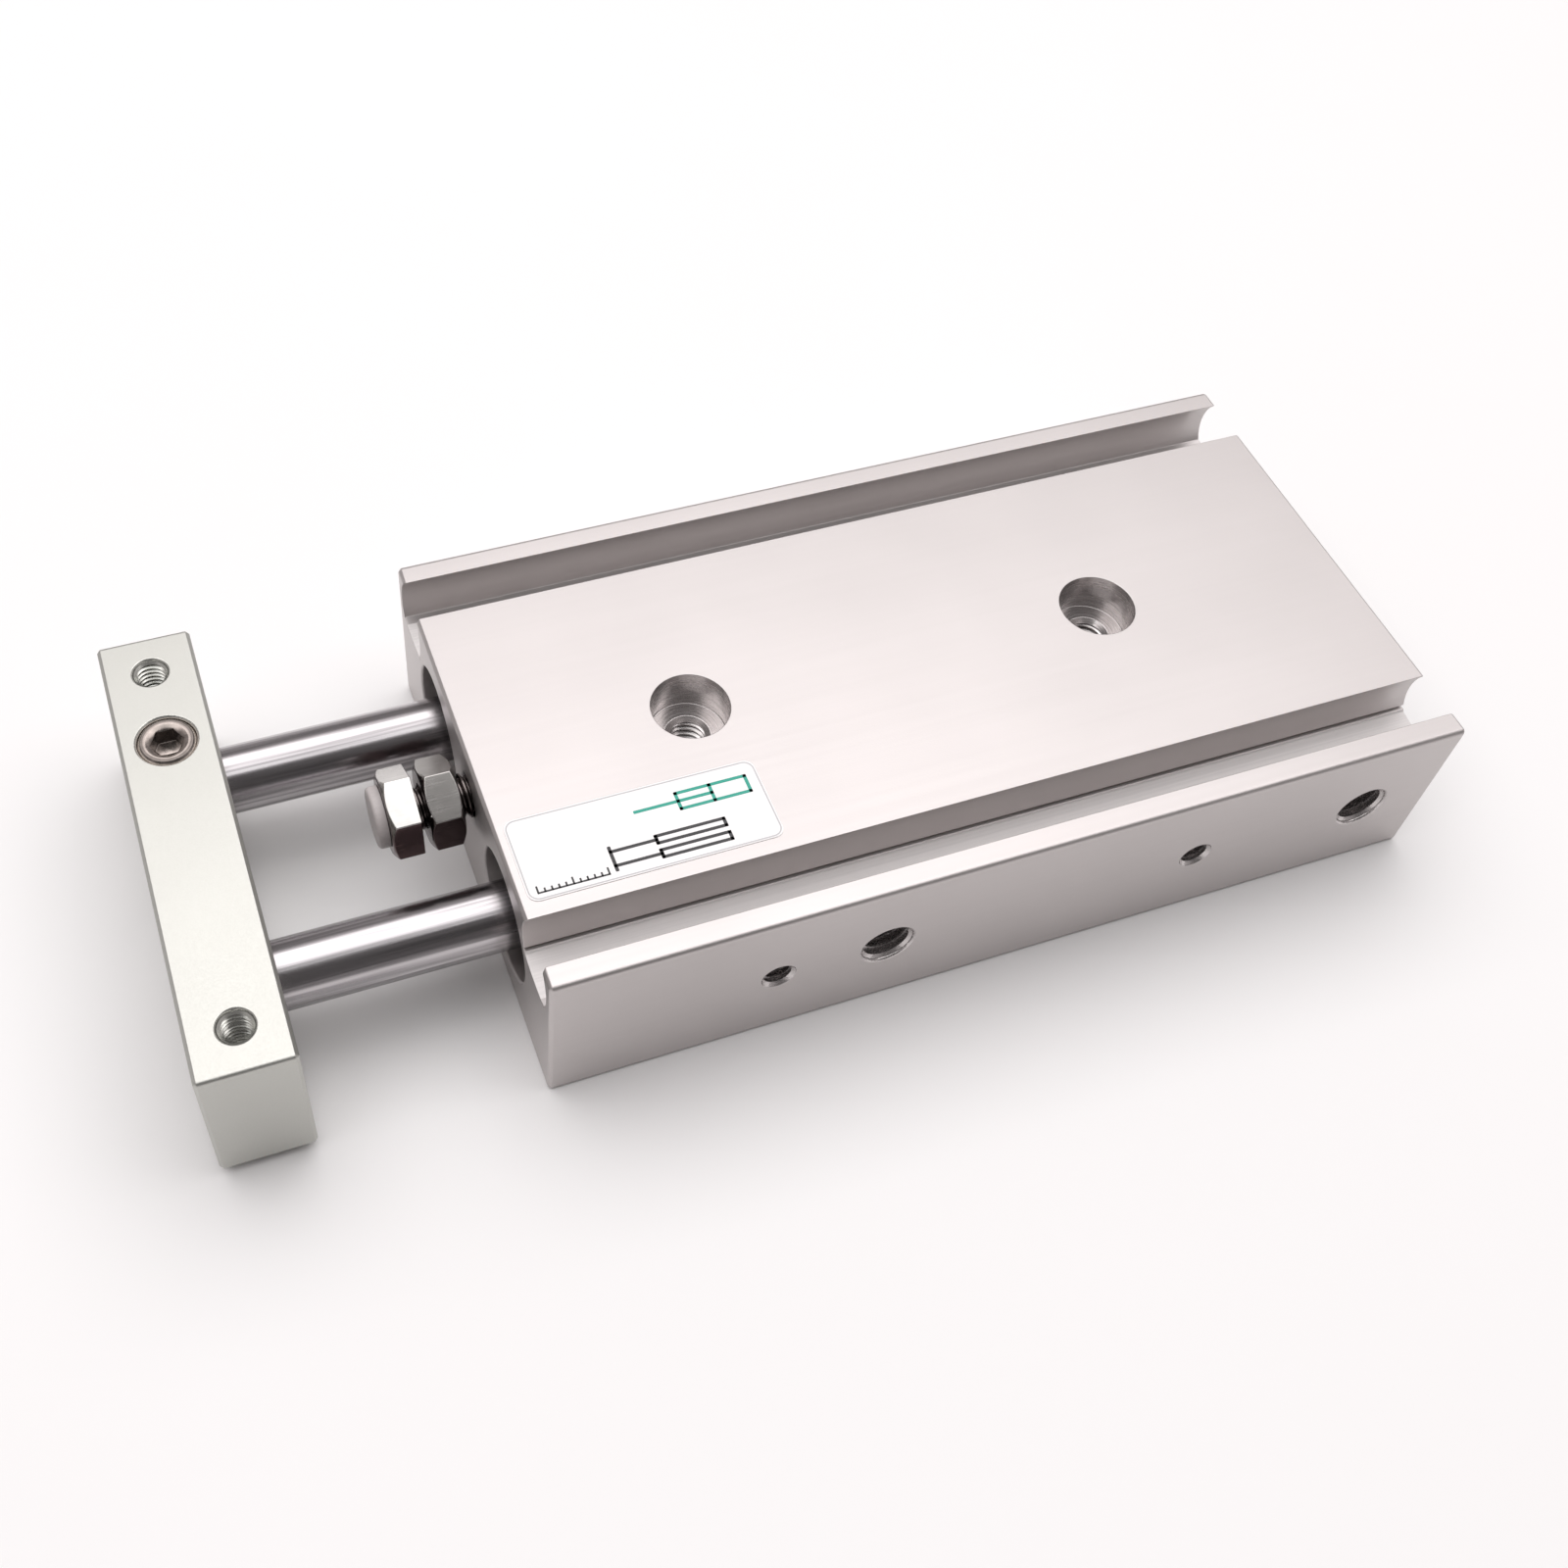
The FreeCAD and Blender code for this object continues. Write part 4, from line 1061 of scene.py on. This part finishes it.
class CYLINDER_OT_sticker(bpy.types.Operator):
    """Stick the white film with its printed symbol on the body"""

    bl_idname = "cylinder.sticker"
    bl_label = "Sticker"

    def execute(self, context):
        sizes = context.scene.cylinder_sticker
        colours = context.scene.cylinder_finishes
        top = BODY_HIGH.z
        level = (top + sizes.thickness, top + sizes.thickness + INK)
        high = Vector((BODY_HIGH.x - sizes.front_gap, sizes.middle_gap + sizes.width))
        low = high - Vector((sizes.length, sizes.width))
        film = printed_film("white_film", colours.sticker)
        bm = bmesh.new()
        slab(bm, rounded_outline(low, high, sizes.corner), top, top + sizes.thickness)
        new_piece("sticker_film", bm, film, "housing")

        # Painted shade: a grey line just inside the film's edge stands for the film's darker edge
        edge = printed_film("grey_print", colours.sticker_edge_shade)
        inset = Vector((0.1 * MM, 0.1 * MM))
        bm = bmesh.new()
        frame_line(bm, low + inset, high - inset, sizes.corner, sizes.border, *level)
        new_piece("sticker_edge_shadow", bm, edge, "housing")

        green = printed_film("green_print", colours.green_print)
        dark = printed_film("dark_print", colours.dark_print)
        broad, fine = 0.3, 0.16
        for name, lines, width, ink in (
            ("sticker_cylinder_symbol", self.single_cylinder(), broad, green),
            ("sticker_twin_symbol", self.twin_cylinder(), broad, dark),
            ("sticker_stroke_scale", self.stroke_scale(), fine, dark),
        ):
            self.print_piece(name, lines, width, ink, high, level)
        return {"FINISHED"}

    # The drawings are in millimetres, back and inward from the sticker's front outer corner

    def single_cylinder(self):
        """The drawing sign for a cylinder: its barrel, its piston and its rod."""
        barrel = box_lines(14.6, 20.8, 5.0, 6.6)
        return barrel + [((17.6, 5.0), (17.6, 6.6)), ((10.8, 5.8), (17.6, 5.8))]

    def twin_cylinder(self):
        """Two barrels side by side, whose rods end in one plate."""
        lines = [((7.6, 0.9), (7.6, 3.1))]
        for middle in (1.3, 2.7):
            lines += box_lines(11.6, 17.6, middle - 0.35, middle + 0.35)
            lines.append(((7.6, middle), (11.6, middle)))
        return lines

    def stroke_scale(self):
        """A scale of 10 short divisions with a longer one at each end and in the middle."""
        lines = [((0.9, 0.7), (6.9, 0.7))]
        for index in range(11):
            along = 0.9 + 0.6 * index
            lines.append(((along, 0.7), (along, 1.3 if index % 5 == 0 else 1.0)))
        return lines

    def print_piece(self, name, lines, width, material, corner, level):
        """Lines of a drawing printed as thin bars with round ends."""
        bm = bmesh.new()
        for start, end in lines:
            run = [corner - Vector(point) * MM for point in (start, end)]
            reach = Vector((width, width)) * MM / 2
            low = Vector([min(values) for values in zip(*run)]) - reach
            high = Vector([max(values) for values in zip(*run)]) + reach
            slab(bm, rounded_outline(low, high, width * MM / 4, steps=2), *level)
        new_piece(name, bm, material, "housing")


class CYLINDER_OT_studio(bpy.types.Operator):
    """Set the floor, the lights and the camera"""

    bl_idname = "cylinder.studio"
    bl_label = "Studio"

    def execute(self, context):
        studio = context.scene.cylinder_studio
        self.floor(context, studio)
        self.walls(context, studio)
        self.softbox(context, studio)
        self.camera(context, studio)
        context.scene.view_settings.view_transform = "Standard"
        return {"FINISHED"}

    def floor(self, context, studio):
        """A plain floor under the part, wide enough to fill the view."""
        half_width = 3.0
        bm = bmesh.new()
        bmesh.ops.create_grid(bm, x_segments=1, y_segments=1, size=half_width)
        mesh = bpy.data.meshes.new("floor")
        bm.to_mesh(mesh)
        bm.free()
        mesh.materials.append(painted_floor("white_paint", studio.paint))
        floor = bpy.data.objects.new("floor", mesh)
        context.scene.collection.objects.link(floor)

    def softbox(self, context, studio):
        """A wide softbox above the part."""
        light = bpy.data.lights.new("overhead_softbox", "AREA")
        light.shape = "RECTANGLE"
        light.size, light.size_y = studio.key_size
        light.energy = studio.key_power
        lamp = bpy.data.objects.new("overhead_softbox", light)
        lamp.location = studio.key_place
        context.scene.collection.objects.link(lamp)

    def walls(self, context, studio):
        """Grey walls under a bright ceiling, with a dark cloth on the side of the air ports."""
        ceiling_edge = (0.52, 0.84)
        cloth_facing, cloth_edge = (0.1, 0.64, 0.76), (0.64, 0.88)
        world = bpy.data.worlds.new("studio_walls")
        world.use_nodes = True
        place = add_node(world, "ShaderNodeTexCoord")
        height = add_node(world, "ShaderNodeSeparateXYZ", {"Vector": place.outputs["Generated"]})
        bright = vary(world, height.outputs["Z"], studio.wall, studio.ceiling, ceiling_edge)
        inputs = {0: place.outputs["Generated"], 1: cloth_facing}
        facing = add_node(world, "ShaderNodeVectorMath", inputs, operation="DOT_PRODUCT")
        strength = vary(world, facing.outputs["Value"], bright, studio.flag, cloth_edge)
        for output in (bright, strength):
            output.node.interpolation_type = "SMOOTHSTEP"
        walls = world.node_tree.nodes["Background"]
        walls.inputs["Color"].default_value = (*studio.air, 1.0)
        join(world, strength, walls, "Strength")
        context.scene.world = world

    def camera(self, context, studio):
        """A camera at the studio's angles round its target."""
        level = cos(studio.elevation)
        around = (sin(studio.azimuth) * level, -cos(studio.azimuth) * level)
        back = Vector((*around, sin(studio.elevation)))
        roll = Matrix.Rotation(studio.roll, 4, "Z")
        turn = back.to_track_quat("Z", "Y").to_matrix().to_4x4() @ roll
        lens = bpy.data.cameras.new("camera")
        lens.lens = studio.lens
        lens.sensor_width = 36.0
        lens.shift_x, lens.shift_y = studio.shift
        lens.clip_start = 1 * MM
        camera = bpy.data.objects.new("camera", lens)
        place = Vector(studio.target) + back * studio.distance
        camera.matrix_world = Matrix.Translation(place) @ turn
        context.scene.collection.objects.link(camera)
        context.scene.camera = camera


STEPS = (
    CYLINDER_OT_housing,
    CYLINDER_OT_soft_parts,
    CYLINDER_OT_rods_and_plate,
    CYLINDER_OT_fasteners,
    CYLINDER_OT_threads,
    CYLINDER_OT_sticker,
    CYLINDER_OT_studio,
)
GROUPS = {
    "cylinder_finishes": CylinderFinishes,
    "cylinder_threads": CylinderThreads,
    "cylinder_sticker": CylinderSticker,
    "cylinder_studio": CylinderStudio,
}


class CYLINDER_PT_panel(bpy.types.Panel):
    """Lists the steps and their sizes and colours"""

    bl_idname = "CYLINDER_PT_panel"
    bl_label = "Pneumatic cylinder"
    bl_space_type = "VIEW_3D"
    bl_region_type = "UI"
    bl_category = "Cylinder"

    def draw(self, context):
        column = self.layout.column(align=True)
        for step in STEPS:
            column.operator(step.bl_idname)
        for name, group in GROUPS.items():
            box = self.layout.box()
            settings = getattr(context.scene, name)
            for key in group.__annotations__:
                box.prop(settings, key)


def register():
    for item in (*GROUPS.values(), *STEPS, CYLINDER_PT_panel):
        bpy.utils.register_class(item)
    for name, group in GROUPS.items():
        setattr(bpy.types.Scene, name, bpy.props.PointerProperty(type=group))


def unregister():
    for name in GROUPS:
        delattr(bpy.types.Scene, name)
    for item in reversed((*GROUPS.values(), *STEPS, CYLINDER_PT_panel)):
        bpy.utils.unregister_class(item)


def main():
    register()
    for step in STEPS:
        group, name = step.bl_idname.split(".")
        getattr(getattr(bpy.ops, group), name)()


if __name__ == "__main__":
    main()
